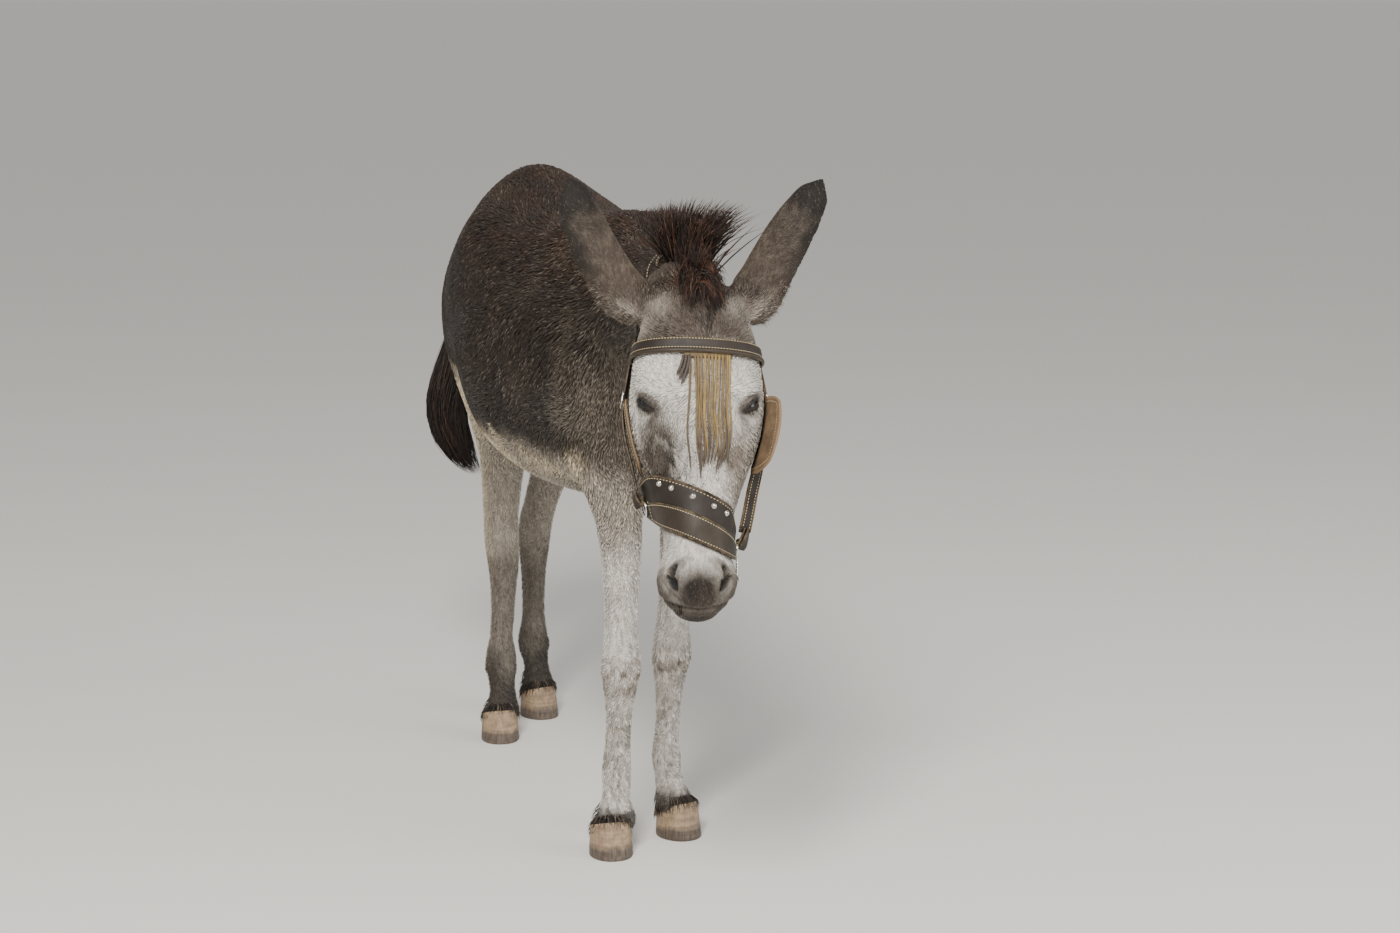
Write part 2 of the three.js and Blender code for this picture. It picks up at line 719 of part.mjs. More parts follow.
const BROW = { centre: [0, 86, -137], tilt: 1.5, lean: 2 };
const NOSEBAND = { centre: [0, 84, -424], tilt: 24, lean: 4 };
const endwards = (along) => Math.abs(2 * along - 1) ** 4;
const cheekPath = (end) => [
  [136, -92],
  [126, -140],
  [116, -200],
  [108, -260],
  [101, (-260 + end) / 2],
  [94, end],
];
const CROWN = {
  centre: [0, 150, -104], lean: -90, from: -80, to: 80, segments: 16, rows: 2,
};
const bridle = {
  browband: girth({
    ...BROW, from: -100, to: 100, width: 27, segments: 20, rows: 1, lift: 2.8, thickness: 5,
  }),
  noseband: girth({
    ...NOSEBAND, from: -112, to: 112, width: 86, ends: 46, segments: 22,
    loose: (along) => (along < 0.5 ? 22 : 9) * endwards(along),
  }),
  chin_strap: girth({
    ...NOSEBAND, from: 117, to: 243, width: 22, segments: 14, rows: 1, lift: 3.8,
    loose: (along) => 10 * endwards(along),
  }),
  crownpiece: girth({ ...CROWN, width: 24, lift: 4 }),
  blinker_left: blinker(1, 66, 50),
  blinker_right: blinker(-1, 102, 0),
};
for (const [side, hand, end] of [["left", 1, -440], ["right", -1, -376]]) {
  bridle[`cheekpiece_${side}`] = sideStrap({
    hand, path: cheekPath(end), width: 24, segments: 12, rows: 1, lift: 8.6,
    loose: (along) => 14 * along ** 4,
  });
}

// A matrix that stands +Z on the noseband's face, at an angle and a distance above its middle.
const bothSides = new THREE.MeshBasicMaterial({ side: THREE.DoubleSide });
const nosebandFace = new THREE.Mesh(bridle.noseband, bothSides);
function onNoseband(angle, above, lift) {
  const [lean, tilt] = [NOSEBAND.lean, NOSEBAND.tilt].map(THREE.MathUtils.degToRad);
  const turn = new THREE.Euler(lean, tilt, 0);
  const swing = THREE.MathUtils.degToRad(angle);
  const inward = new THREE.Vector3(-Math.sin(swing), Math.cos(swing), 0).applyEuler(turn);
  const towards = new THREE.Vector3(0, 0, above).applyEuler(turn).add(vec(NOSEBAND.centre));
  ray.set(towards.addScaledVector(inward, -FAR), inward);
  const [{ point, face }] = ray.intersectObject(nosebandFace);
  const outward = face.normal.clone().multiplyScalar(-Math.sign(face.normal.dot(inward)));
  const place = point.addScaledVector(outward, lift);
  const quaternion = new THREE.Quaternion().setFromUnitVectors(new THREE.Vector3(0, 0, 1), outward);
  return new THREE.Matrix4().compose(place, quaternion, new THREE.Vector3(1, 1, 1));
}

// Round studs along the upper edge of the noseband, and a ring at each of its ends.
const studProfile = [
  [0, 0],
  [5, 0],
  [5, 0.8],
  [3.4, 3.4],
  [0, 4],
].map(([x, y]) => new THREE.Vector2(x, y));
const studs = [-56, -41, -15.5, 10, 30].map((angle) =>
  new THREE.LatheGeometry(studProfile, 8)
    .rotateX(Math.PI / 2)
    .applyMatrix4(onNoseband(angle, 26, 3 * GAP)),
);
const rings = {
  left: new THREE.TorusGeometry(13, 2, 4, 12).applyMatrix4(onNoseband(104, -12, 3)),
  right: new THREE.TorusGeometry(13, 2, 4, 12).applyMatrix4(onNoseband(-104, -12, 2.5)),
};

// The crownpiece parts the hair: the mane stands behind it and the forelock before it.
const parting = solid(
  girth({ ...CROWN, width: 24 + 2 * GAP, lift: -8, thickness: 200 }),
);
const headwards = headGroup.matrix.elements;
const standingHair = mane
  .solid()
  .add(forelock.solid(headGroup.matrix))
  .subtract(body.add(body.translate([0, 0, GAP])).add(body.translate([0, -GAP, 0])))
  .subtract(parting.transform(headwards))
  .simplify(FAIR / 5);
const [behind, before] = standingHair
  .decompose()
  .filter((lock) => lock.volume() > 1000)
  .sort((a, b) => b.boundingBox().max[1] - a.boundingBox().max[1]);

// A fringe of flat thongs hangs from under the browband over the middle of the face.
const FRINGE = { from: -14, to: 48, thongs: 11, top: -158, drop: 206, wide: 4.4 };
const straightBack = new THREE.Vector3(0, 1, 0);
const fringeHeader = strap({
  lay: (along, across) => ({
    towards: new THREE.Vector3(
      THREE.MathUtils.lerp(FRINGE.from - 4, FRINGE.to + 4, along),
      84,
      FRINGE.top - 4 + across * 8,
    ),
    inward: straightBack,
  }),
  segments: 6,
  rows: 1,
  thickness: 2,
});
function thong(k) {
  const share = k / (FRINGE.thongs - 1);
  const middle = THREE.MathUtils.lerp(FRINGE.from, FRINGE.to, share);
  const drop = FRINGE.drop * (1 - 0.12 * share - 0.1 * Math.sin(1.2 + k * 2.4) ** 2);
  return strap({
    lay: (along, across) => ({
      towards: new THREE.Vector3(
        middle + 2.5 * Math.sin((1 - along) * 5 + k) * (1 - along) - across * FRINGE.wide,
        84,
        FRINGE.top - 2 - (1 - along) * drop,
      ),
      inward: straightBack,
    }),
    segments: 3,
    rows: 1,
    thickness: 2,
  });
}
const fringe = join([
  solid(fringeHeader),
  ...Array.from({ length: FRINGE.thongs }, (_, k) => solid(thong(k))),
]);

// ---------------------------------------------------------------- the whole donkey
const donkey = new THREE.Group();
for (const [name, piece] of Object.entries(flesh)) {
  const material = { tail_switch: darkHair, head: paleCoat }[name] ?? coat;
  donkey.add(named(name, piece, name.startsWith("foreleg") ? paleCoat : material));
}
for (const [name, leg] of Object.entries(legs)) {
  donkey.add(named(`hoof_${name}`, hoof(leg), horn));
}
donkey.add(named("mane", behind, darkHair));
donkey.add(named("forelock", before, darkHair));
for (const [side, hand] of Object.entries(sides)) {
  headGroup.add(named(`eye_${side}`, eyeball(hand), wetEye));
}
for (const [name, geometry] of Object.entries(bridle)) {
  headGroup.add(named(name, geometry, name.startsWith("blinker") ? tanLeather : leather));
}
studs.forEach((stud, i) => headGroup.add(named(`noseband_stud_${i + 1}`, stud, nickel)));
for (const [side, ring] of Object.entries(rings)) {
  headGroup.add(named(`noseband_ring_${side}`, ring, nickel));
}
headGroup.add(named("fly_fringe", fringe, tanLeather));
donkey.add(headGroup);

// The soles are at z = 0. The middle of the whole is set over the origin.
const middle = new THREE.Box3().setFromObject(donkey, true).getCenter(new THREE.Vector3());
donkey.position.set(-middle.x, -middle.y, 0);
export default donkey;
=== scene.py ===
# A donkey standing with its head lowered, in a leather driving bridle.
# Metres, +Z up. The donkey faces -Y and its left side is +X.
import math
import bmesh
import bpy
import numpy as np
from mathutils import Euler, Matrix, Vector
from mathutils.bvhtree import BVHTree


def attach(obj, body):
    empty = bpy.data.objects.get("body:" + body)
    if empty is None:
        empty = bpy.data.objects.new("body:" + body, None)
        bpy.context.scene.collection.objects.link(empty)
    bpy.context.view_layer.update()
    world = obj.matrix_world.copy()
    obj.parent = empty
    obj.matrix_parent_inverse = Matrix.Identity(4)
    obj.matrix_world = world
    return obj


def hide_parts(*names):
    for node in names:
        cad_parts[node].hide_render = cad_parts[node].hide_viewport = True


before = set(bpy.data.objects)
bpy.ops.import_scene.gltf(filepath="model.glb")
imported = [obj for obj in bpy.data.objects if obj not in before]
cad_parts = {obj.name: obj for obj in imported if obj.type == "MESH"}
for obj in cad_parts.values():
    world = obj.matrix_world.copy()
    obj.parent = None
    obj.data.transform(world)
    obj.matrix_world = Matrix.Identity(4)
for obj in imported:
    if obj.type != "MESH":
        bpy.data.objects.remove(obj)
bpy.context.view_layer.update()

# ---------------------------------------------------------------- places
# The body's own measures are in millimetres from a point midway between the feet. ORIGIN is where
# the frame has that point. The head is measured in its own frame, where it hangs plumb.
ORIGIN = Vector((13.987, 157.350, 0.0))
HEAD_TURN = Euler(map(math.radians, (-22, 1.2, -16)), "XYZ").to_matrix()
HEAD_TOP = Vector((-74, -872, 1172)) + ORIGIN
HEAD = Matrix.Translation(HEAD_TOP / 1000) @ HEAD_TURN.to_4x4() @ Matrix.Scale(0.001, 4)
TURN = np.array(HEAD_TURN)
ORIGIN_ROW = np.array(ORIGIN)
SIDES = {"left": 1, "right": -1}
# The middle of each hoof on the floor, and how far it is turned.
LEGS = {
    "foreleg_right": (-94, -425, -6),
    "foreleg_left": (66, -356, 16),
    "hindleg_right": (-84, 416, -8),
    "hindleg_left": (52, 578, 10),
}


def in_body(points):
    """Millimetres from the point midway between the feet."""
    return np.asarray(points) * 1000 - np.array(ORIGIN)


def in_head(points):
    """Millimetres in the head's own frame."""
    return (np.asarray(points) * 1000 - np.array(HEAD_TOP)) @ TURN


def from_head(points):
    return (np.asarray(points) @ TURN.T + np.array(HEAD_TOP)) / 1000


def smooth(low, high, x):
    """0 below low, 1 above high, and a soft ramp between."""
    t = np.clip((x - low) / (high - low), 0, 1)
    return t * t * (3 - 2 * t)


def mottle(points, size, seed):
    """A soft random field, about -1 to 1, whose patches are about size across."""
    rng = np.random.default_rng(seed)
    waves = rng.normal(size=(3, 14)) * (2.2 / size)
    return np.sin(points @ waves + rng.uniform(0, 6.28, 14)).sum(1) / 3.7


def along_path(path, t):
    """Values of a table of rows, smoothly between them, for t from 0 to 1."""
    table = np.asarray(path, float)
    x = np.clip(t, 0, 1) * (len(table) - 1)
    i = np.minimum(x.astype(int), len(table) - 2)
    f = (x - i)[:, None]
    before = table[np.maximum(i - 1, 0)]
    after = table[np.minimum(i + 2, len(table) - 1)]
    a, b = table[i], table[i + 1]
    rise, slope_in, slope_out = b - a, (b - before) / 2, (after - a) / 2
    return a + f * (slope_in + f * (3 * rise - 2 * slope_in - slope_out
                                    + f * (slope_in + slope_out - 2 * rise)))


# ---------------------------------------------------------------- pieces
def piece(name, mesh, slot, *nodes, materials=()):
    """A finished object that rides on the donkey and stands for the nodes that it replaces."""
    if isinstance(mesh, bmesh.types.BMesh):
        made = bpy.data.meshes.new(name)
        mesh.to_mesh(made)
        mesh.free()
        mesh = made
    ob = bpy.data.objects.new(name, mesh)
    bpy.context.scene.collection.objects.link(ob)
    for material in materials:
        ob.data.materials.append(material)
    ob.data.polygons.foreach_set("use_smooth", [True] * len(ob.data.polygons))
    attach(ob, "root")
    if nodes:
        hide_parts(*nodes)
    return ob


def merged(*nodes):
    """The named solids as one bmesh, with their loose triangles joined."""
    bm = bmesh.new()
    for node in nodes:
        bm.from_mesh(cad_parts[node].data)
    bmesh.ops.remove_doubles(bm, verts=bm.verts, dist=2e-5)
    return bm


def remeshed(bm, voxel):
    """One even closed surface round everything in the bmesh."""
    mesh = bpy.data.meshes.new("flesh")
    bm.to_mesh(mesh)
    bm.free()
    ob = bpy.data.objects.new("flesh", mesh)
    bpy.context.scene.collection.objects.link(ob)
    modifier = ob.modifiers.new("even", "REMESH")
    modifier.mode = "VOXEL"
    modifier.voxel_size = voxel
    even = bpy.data.meshes.new_from_object(ob.evaluated_get(bpy.context.evaluated_depsgraph_get()))
    bpy.data.objects.remove(ob)
    out = bmesh.new()
    out.from_mesh(even)
    bpy.data.meshes.remove(even)
    return out


def places_of(mesh):
    co = np.empty(len(mesh.vertices) * 3)
    mesh.vertices.foreach_get("co", co)
    return co.reshape(-1, 3)


def normals_of(mesh):
    out = np.empty(len(mesh.vertices) * 3, np.float32)
    mesh.vertex_normals.foreach_get("vector", out)
    return out.reshape(-1, 3).astype(float)


def put_places(mesh, co):
    mesh.vertices.foreach_set("co", co.ravel())
    mesh.update()


def relaxed(mesh, strength, rounds, refill=0):
    """Evens out a mesh. strength holds how far each vertex moves towards its neighbours. refill
    gives the rounds that spread the lost thickness, before it is put back."""
    start = places_of(mesh)
    co = start.copy()
    ends = np.empty(len(mesh.edges) * 2, int)
    mesh.edges.foreach_get("vertices", ends)
    a, b = ends.reshape(-1, 2).T
    count = len(co)
    near = np.maximum(np.bincount(a, minlength=count) + np.bincount(b, minlength=count), 1)
    for _ in range(rounds):
        total = [
            np.bincount(a, co[b, k], count) + np.bincount(b, co[a, k], count) for k in range(3)
        ]
        co += strength[:, None] * (np.stack(total, 1) / near[:, None] - co)
    put_places(mesh, co)
    if refill:
        normals = normals_of(mesh)
        lost = ((start - co) * normals).sum(1)
        for _ in range(refill):
            total = np.bincount(a, lost[b], count) + np.bincount(b, lost[a], count)
            lost += 0.5 * (total / near - lost)
        put_places(mesh, co + normals * lost[:, None])


def as_mesh(bm, name):
    mesh = bpy.data.meshes.new(name)
    bm.to_mesh(mesh)
    bm.free()
    return mesh


# ---------------------------------------------------------------- ears
# Each ear is a leaf rolled about its own length. It opens outward and back.
EARS = {
    "left": {"base": (60, 72, -84), "tip": (219, 30, 170), "bow": (-6, 0, -6)},
    "right": {"base": (-60, 72, -84), "tip": (-222, 44, 170), "bow": (-20, 0, -10)},
}
# Along the ear: radius of the roll, and degrees from the middle of its back to each edge.
EAR_ROWS = [
    (0, 150), (31, 150), (42, 142), (45, 126), (44, 108), (45, 95),
    (46, 86), (46, 80), (44, 76), (39, 74), (30, 72), (0, 70),
]


def ear_frame(side):
    ear = EARS[side]
    base, tip, bow = (Vector(ear[k]) for k in ("base", "tip", "bow"))
    along = tip - base
    lengthways = along.normalized()
    backward = Vector((0.55 * SIDES[side], 1, 0))
    backward = (backward - lengthways * backward.dot(lengthways)).normalized()
    return base, along, bow, lengthways, backward, lengthways.cross(backward)


def add_ear(bm, side):
    """A smooth ear, from a sphere whose rows run from base to tip."""
    base, along, bow, _, backward, sideways = ear_frame(side)
    ear = bmesh.ops.create_uvsphere(bm, u_segments=48, v_segments=56, radius=1)
    half = 23.0
    for v in ear["verts"]:
        t = math.acos(max(-1, min(1, -v.co.z))) / math.pi
        turn = round((math.atan2(v.co.y, v.co.x) / math.tau % 1) * 48) % 48
        outer = turn <= half
        share = (turn if outer else 47 - turn) / half * 2 - 1
        radius, spread = along_path(EAR_ROWS, np.array([t]))[0]
        angle = math.radians(share * spread)
        wall = min(6.0 * (1 - 0.45 * abs(share) ** 3), radius * 0.6)
        reach = max(radius if outer else radius - wall, 0)
        middle = base + along * t + bow * math.sin(math.pi * t)
        if 1e-4 < t < 1 - 1e-4:
            middle = middle + backward * (radius * 0.4 - math.cos(angle) * reach)
            middle = middle + sideways * (math.sin(angle) * reach)
        v.co = HEAD @ middle
    return ear["verts"]


# ---------------------------------------------------------------- skin
EYE = {"place": (80, 30, -236), "look": (0.62, -0.78, 0.05), "slit": (0.62, 0.5, 0.6)}
EYE_RADIUS = 19.0
NECK_SEAM = (Vector((-30, -592, 1036)) + ORIGIN) / 1000, Vector((0.16, -0.98, 0.05)).normalized()
BODY_VOXEL, HEAD_VOXEL = ((0.0115, 0.0039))


def swollen(bm, by):
    """Pushes the surface out a little, so that the cuts between the solids close."""
    bm.normal_update()
    for v in bm.verts:
        v.co += v.normal * by
    return bm


def half_cut(bm, plane, keep):
    """Keeps the part of a closed surface that lies on one side of a plane."""
    place, normal = plane
    bmesh.ops.bisect_plane(
        bm, geom=bm.verts[:] + bm.edges[:] + bm.faces[:], plane_co=place + normal * 0.002 * keep,
        plane_no=normal * -keep, clear_outer=True,
    )
    return bm


def torso():
    bm = swollen(merged("trunk", "neck", "tail", *LEGS), 0.0006)
    mesh = as_mesh(remeshed(bm, BODY_VOXEL), "torso")
    p = in_body(places_of(mesh))
    leg = smooth(720, 520, p[:, 2])
    tail = smooth(660, 700, p[:, 1]) * smooth(600, 700, p[:, 2])
    rounds = int(52 * (0.011 / BODY_VOXEL) ** 2)
    relaxed(mesh, 0.5 * (1 - 0.86 * leg) * (1 - 0.85 * tail), rounds, rounds // 2)
    bm = bmesh.new()
    bm.from_mesh(mesh)
    bpy.data.meshes.remove(mesh)
    return half_cut(bm, NECK_SEAM, -1)


def head_and_neck():
    bm = merged("head", "neck")
    for side in SIDES:
        x, y, z = EYE["place"]
        centre = HEAD @ Vector((x * SIDES[side], y, z))
        bmesh.ops.create_icosphere(
            bm, subdivisions=4, radius=0.0205, matrix=Matrix.Translation(centre)
        )
    swollen(bm, 0.0006)
    for side in SIDES:
        add_ear(bm, side)
    bmesh.ops.recalc_face_normals(bm, faces=bm.faces)
    mesh = as_mesh(remeshed(bm, HEAD_VOXEL), "head")
    p = in_head(places_of(mesh))
    ear = ear_share(p)
    rounds = int(24 * (0.0037 / HEAD_VOXEL) ** 2)
    neck = smooth(150, 260, p[:, 1])
    relaxed(mesh, 0.5 * (1 - 0.93 * ear) * (0.7 + 0.3 * neck), rounds, rounds)
    relaxed(mesh, 0.5 * neck, rounds * 2)
    bm = bmesh.new()
    bm.from_mesh(mesh)
    bpy.data.meshes.remove(mesh)
    return half_cut(bm, NECK_SEAM, 1)


def ear_share(p):
    """1 on the ears and 0 off them, for places in the head's frame."""
    share = np.zeros(len(p))
    for side in SIDES:
        base, along, _, lengthways, *_ = ear_frame(side)
        off = p - np.array(base)
        t = off @ np.array(lengthways) / along.length
        away = np.linalg.norm(off - np.outer(t * along.length, lengthways), axis=1)
        share = np.maximum(share, smooth(0.12, 0.3, t) * smooth(95, 75, away))
    return share


def finer(bm, centre, reach, levels=1):
    """Splits the faces near a place of the head into smaller ones."""
    for level in range(levels):
        radius = reach * (1 - 0.22 * level) / 1000
        spot = HEAD @ Vector(centre)
        near = [f for f in bm.faces if (f.calc_center_median() - spot).length < radius]
        edges = {e for f in near for e in f.edges}
        bmesh.ops.subdivide_edges(bm, edges=list(edges), cuts=1, use_grid_fill=True)


def coat_depth(points):
    """How deep the coat lies over the skin, in metres."""
    p, h = in_body(points), in_head(points)
    depth = 5.5 - 2.8 * smooth(620, 380, p[:, 2])
    on_head = head_share(p, h)
    face = 2.6 - 1.4 * smooth(-330, -520, h[:, 2])
    depth = depth * (1 - on_head) + face * on_head
    depth = depth * (1 - ear_share(h)) + 1.1 * ear_share(h)
    tail = smooth(660, 700, p[:, 1]) * smooth(600, 700, p[:, 2])
    return (depth * (1 - tail) + 2.0 * tail) / 1000


def head_share(p, h):
    """1 on the head and the ears and 0 on the neck, for places given in both frames."""
    return np.maximum(smooth(-690, -740, p[:, 1]) * smooth(-10, -60, h[:, 2]), ear_share(h))


# Gentle forms under the coat: place, reach along X, Y and Z, and height, in millimetres.
BODY_FORMS = [
    ((165, -330, 1020), (60, 60, 150), 7),  # blade of each shoulder
    ((172, -400, 860), (60, 70, 70), 6),  # point of each shoulder
    ((150, -330, 740), (50, 60, 70), 6),  # muscle over each elbow
    ((120, -250, 700), (40, 34, 60), -7),  # hollow behind each elbow
    ((190, 470, 900), (70, 110, 120), 8),  # muscle of each thigh
    ((160, 330, 770), (60, 40, 70), -8),  # fold of each stifle
    ((60, -500, 860), (38, 60, 80), 8),  # breast on each side
    ((0, -505, 850), (16, 60, 90), -9),  # groove of the breast
    ((0, 250, 1290), (24, 200, 40), -3),  # furrow along the croup
    ((175, 290, 1190), (50, 60, 60), 6),  # hip bones
]
HEAD_FORMS = [
    ((64, -4, -178), (34, 30, 26), -4),  # hollow above each eye
    ((84, 14, -214), (26, 24, 12), 3.5),  # bone of the brow
    ((74, 36, -330), (16, 26, 90), 4),  # ridge of each cheekbone
    ((70, 130, -250), (40, 60, 80), 4),  # muscle of the jaw
    ((40, 60, -420), (26, 40, 50), -3),  # hollow of each side of the nose
    ((0, -8, -330), (22, 20, 150), 2),  # bridge of the nose
    ((0, 12, -560), (12, 20, 30), -2.5),  # groove of the upper lip
    ((34, 4, -500), (16, 20, 40), 2.5),  # upper rim of each nostril
]


def push_forms(co, normals, points, forms):
    """Raises or sinks the surface at each of the forms, on both sides of the middle."""
    rise = np.zeros(len(co))
    for place, reach, height in forms:
        for hand in {1, -1} if place[0] else {1}:
            off = (points - np.array(place) * (hand, 1, 1)) / np.array(reach)
            rise += height / 1000 * np.exp(-(off**2).sum(1))
    return co + normals * rise[:, None]


def eye_axes(side):
    hand = SIDES[side]
    x, y, z = EYE["place"]
    look = Vector((EYE["look"][0] * hand, *EYE["look"][1:])).normalized()
    slit = Vector((EYE["slit"][0] * hand, *EYE["slit"][1:]))
    slit = (slit - look * slit.dot(look)).normalized()
    up = look.cross(slit)
    up = up if up.z > 0 else -up
    return tuple(np.array(v) for v in (Vector((x * hand, y, z)), look, slit, up))


def add_lids(p):
    """Rounds the skin over each eyeball and opens it between two heavy lids."""
    for side in SIDES:
        centre, look, slit, up = eye_axes(side)
        off = p - centre
        far = np.linalg.norm(off, axis=1)
        out = off / far[:, None]
        front = out @ look
        a = out @ slit
        b = out @ up
        near = smooth(0.1, 0.55, front) * smooth(36, 27, far)
        lid = 21.6 + 1.3 * np.exp(-(((b - 0.42) / 0.12) ** 2))
        half = np.clip(1 - (a / 0.80) ** 2, 0, 1)
        top, bottom = 0.08 * half**0.7, -0.24 * half**0.8
        open_by = np.minimum(top - b, b - bottom)
        rim = 0.9 * np.exp(-((open_by / 0.07) ** 2)) * (half > 0)
        fold = -1.2 * np.exp(-(((b - top - 0.26) / 0.05) ** 2)) * smooth(0.95, 0.6, abs(a))
        fold -= 0.8 * np.exp(-(((b - bottom + 0.24) / 0.06) ** 2)) * smooth(0.9, 0.5, abs(a))
        wanted = lid + rim + fold
        inside = smooth(-0.015, 0.03, open_by) * (half > 0.02)
        wanted = wanted * (1 - inside) + 16.5 * inside
        new = far * (1 - near) + wanted * near
        p = centre + out * new[:, None]
    return p


NOSTRIL = {"place": (43, 17, -528), "look": (0.74, -0.66, -0.10)}


def nostril_shape(p, hand):
    """Under 1 within a nostril, and the way that it opens."""
    look = np.array(NOSTRIL["look"]) * (hand, 1, 1)
    look /= np.linalg.norm(look)
    long = np.array((-0.30 * hand, -0.25, 0.92))
    long -= look * (long @ look)
    long /= np.linalg.norm(long)
    off = p - np.array(NOSTRIL["place"]) * (hand, 1, 1)
    a, b = off @ long, off @ np.cross(look, long) * hand
    width = np.where(a > 0, 6.5, 10.0)
    shape = np.sqrt((a / 22) ** 2 + ((b - 0.012 * a * a + 2) / width) ** 2)
    return np.where(abs(off @ look) < 40, shape, 9.0), look


def add_nostrils(p, normals):
    """A comma-shaped opening on each side of the nose, under a raised rim."""
    moved = p.copy()
    for hand in SIDES.values():
        shape, look = nostril_shape(p, hand)
        facing = smooth(-0.2, 0.3, normals @ look)
        rim = 4.0 * np.exp(-(((shape - 1.35) / 0.34) ** 2)) * facing
        hole = 24 * smooth(1.05, 0.62, shape) * facing
        moved += normals * rim[:, None]
        moved -= (look * 0.8 + np.array((0, 0.35, 0.5)))[None, :] * hole[:, None]
    return moved


def shape_muzzle(p):
    """Narrows the nose over the nostrils, spreads it round them, and tapers the chin."""
    z = p[:, 2]
    share = 1 - 0.085 * np.exp(-(((z + 478) / 26) ** 2)) * smooth(120, 60, p[:, 1])
    share += 0.045 * np.exp(-(((z + 526) / 24) ** 2))
    share -= 0.13 * smooth(-548, -585, z)
    p = p.copy()
    p[:, 0] *= share
    return p


def add_mouth(p, normals):
    """The line between the lips, low on the muzzle and back along each side."""
    level = -582 + 0.50 * np.clip(p[:, 1] - 40, 0, 100) + 0.10 * abs(p[:, 0])
    gap = p[:, 2] - level
    run = smooth(26, 34, p[:, 1]) * smooth(150, 118, p[:, 1]) * smooth(-440, -480, p[:, 2])
    line = np.exp(-((gap / 3.0) ** 2))
    lip = np.exp(-(((gap - 9) / 6.0) ** 2)) + np.exp(-(((gap + 10) / 7.0) ** 2))
    return p + normals * (run * (2.0 * lip - 4.5 * line))[:, None]


HOOF = {"half": 42, "toe": 52, "heel": 46, "top": 74, "slope": 0.34}


def in_hoof(points, leg):
    """Millimetres to the side of a hoof's middle, forward of it, and over the coronet's plane."""
    x, y, turn = LEGS[leg]
    c, s = math.cos(math.radians(turn)), math.sin(math.radians(turn))
    p = in_body(points) - (x, y, 0)
    side, ahead = c * p[:, 0] + s * p[:, 1], s * p[:, 0] - c * p[:, 1]
    return side, ahead, p[:, 2] - HOOF["top"] - HOOF["slope"] * (ahead - 40)


def into_hooves(co):
    """Draws the end of each leg down into its hoof, with a full coronet just over it."""
    moved = co.copy()
    for leg, (x, y, turn) in LEGS.items():
        side, ahead, over = in_hoof(co, leg)
        near = (np.hypot(side, ahead) < 90) & (over < 60)
        flare = 0.10 * np.exp(-(((over - 8) / 12) ** 2)) * near
        middle = np.array((x, y, 0)) + np.array(ORIGIN)
        moved[:, :2] += (co - middle / 1000)[:, :2] * flare[:, None]
        moved[:, 2] -= 0.016 * smooth(22, 2, over) * near
    return moved


def make_skin():
    """The whole skin: body and head cut at the neck, joined, and laid in by the coat's depth."""
    bm = torso()
    extra = as_mesh(head_and_neck(), "head")
    bm.from_mesh(extra)
    bpy.data.meshes.remove(extra)
    rim = [e for e in bm.edges if e.is_boundary]
    bmesh.ops.bridge_loops(bm, edges=rim)
    for side, hand in SIDES.items():
        x, y, z = EYE["place"]
        finer(bm, (x * hand * 1.12, y - 14, z), 34, 2)
        nx, ny, nz = NOSTRIL["place"]
        finer(bm, (nx * hand, ny, nz), 34)
    bmesh.ops.recalc_face_normals(bm, faces=bm.faces)
    mesh = as_mesh(bm, "skin")
    p = in_body(places_of(mesh))
    seam = np.exp(-((((places_of(mesh) - NECK_SEAM[0]) @ np.array(NECK_SEAM[1])) / 0.045) ** 2))
    relaxed(mesh, 0.5 * seam * (p[:, 1] > -720), 30)
    co = places_of(mesh)
    normals = normals_of(mesh)
    co = co - normals * coat_depth(co)[:, None]
    on_head = head_share(in_body(co), in_head(co))[:, None]
    co = push_forms(co, normals, in_body(co), BODY_FORMS)
    co += (push_forms(co, normals, in_head(co), HEAD_FORMS) - co) * on_head
    put_places(mesh, co)
    hn = normals_of(mesh) @ TURN
    head = from_head(add_lids(shape_muzzle(add_mouth(add_nostrils(in_head(co), hn), hn))))
    put_places(mesh, into_hooves(co + (head - co) * on_head))
    return mesh


# ---------------------------------------------------------------- colours of the coat
def tint(code):
    """A linear colour from a six-figure sRGB code."""
    c = np.array([int(code[i:i + 2], 16) for i in (0, 2, 4)]) / 255
    return np.where(c <= 0.04045, c / 12.92, ((c + 0.055) / 1.055) ** 2.4)


DARK, RUSSET_SHEEN, GRIZZLE, CREAM = map(tint, ("2e2620", "423025", "8a8072", "f4e3c4"))
ASH, PALE, SOOT, BROWN_GREY = map(tint, ("b2a99c", "e8e3db", "221d19", "7e7163"))
SLATE, PINK_GREY, TICK, NOSTRIL_SHADE = map(tint, ("524a42", "a89a8c", "bbb0a2", "0d0b0a"))
EAR_GREY, BROW_GREY, MUZZLE, NOSE = map(tint, ("50443a", "52473e", "c9c4bb", "2b2420"))


def blend(colour, other, share):
    return colour + (other - colour) * np.clip(share, 0, 1)[:, None]


def spot(p, place, reach, hands=(1, -1)):
    """1 at a place and 0 beyond its reach, on the sides of the middle that hands names."""
    best = np.zeros(len(p))
    for hand in hands:
        off = (p - np.array(place) * (hand, 1, 1)) / np.array(reach)
        best = np.maximum(best, np.exp(-(off**2).sum(1) * 1.6))
    return best


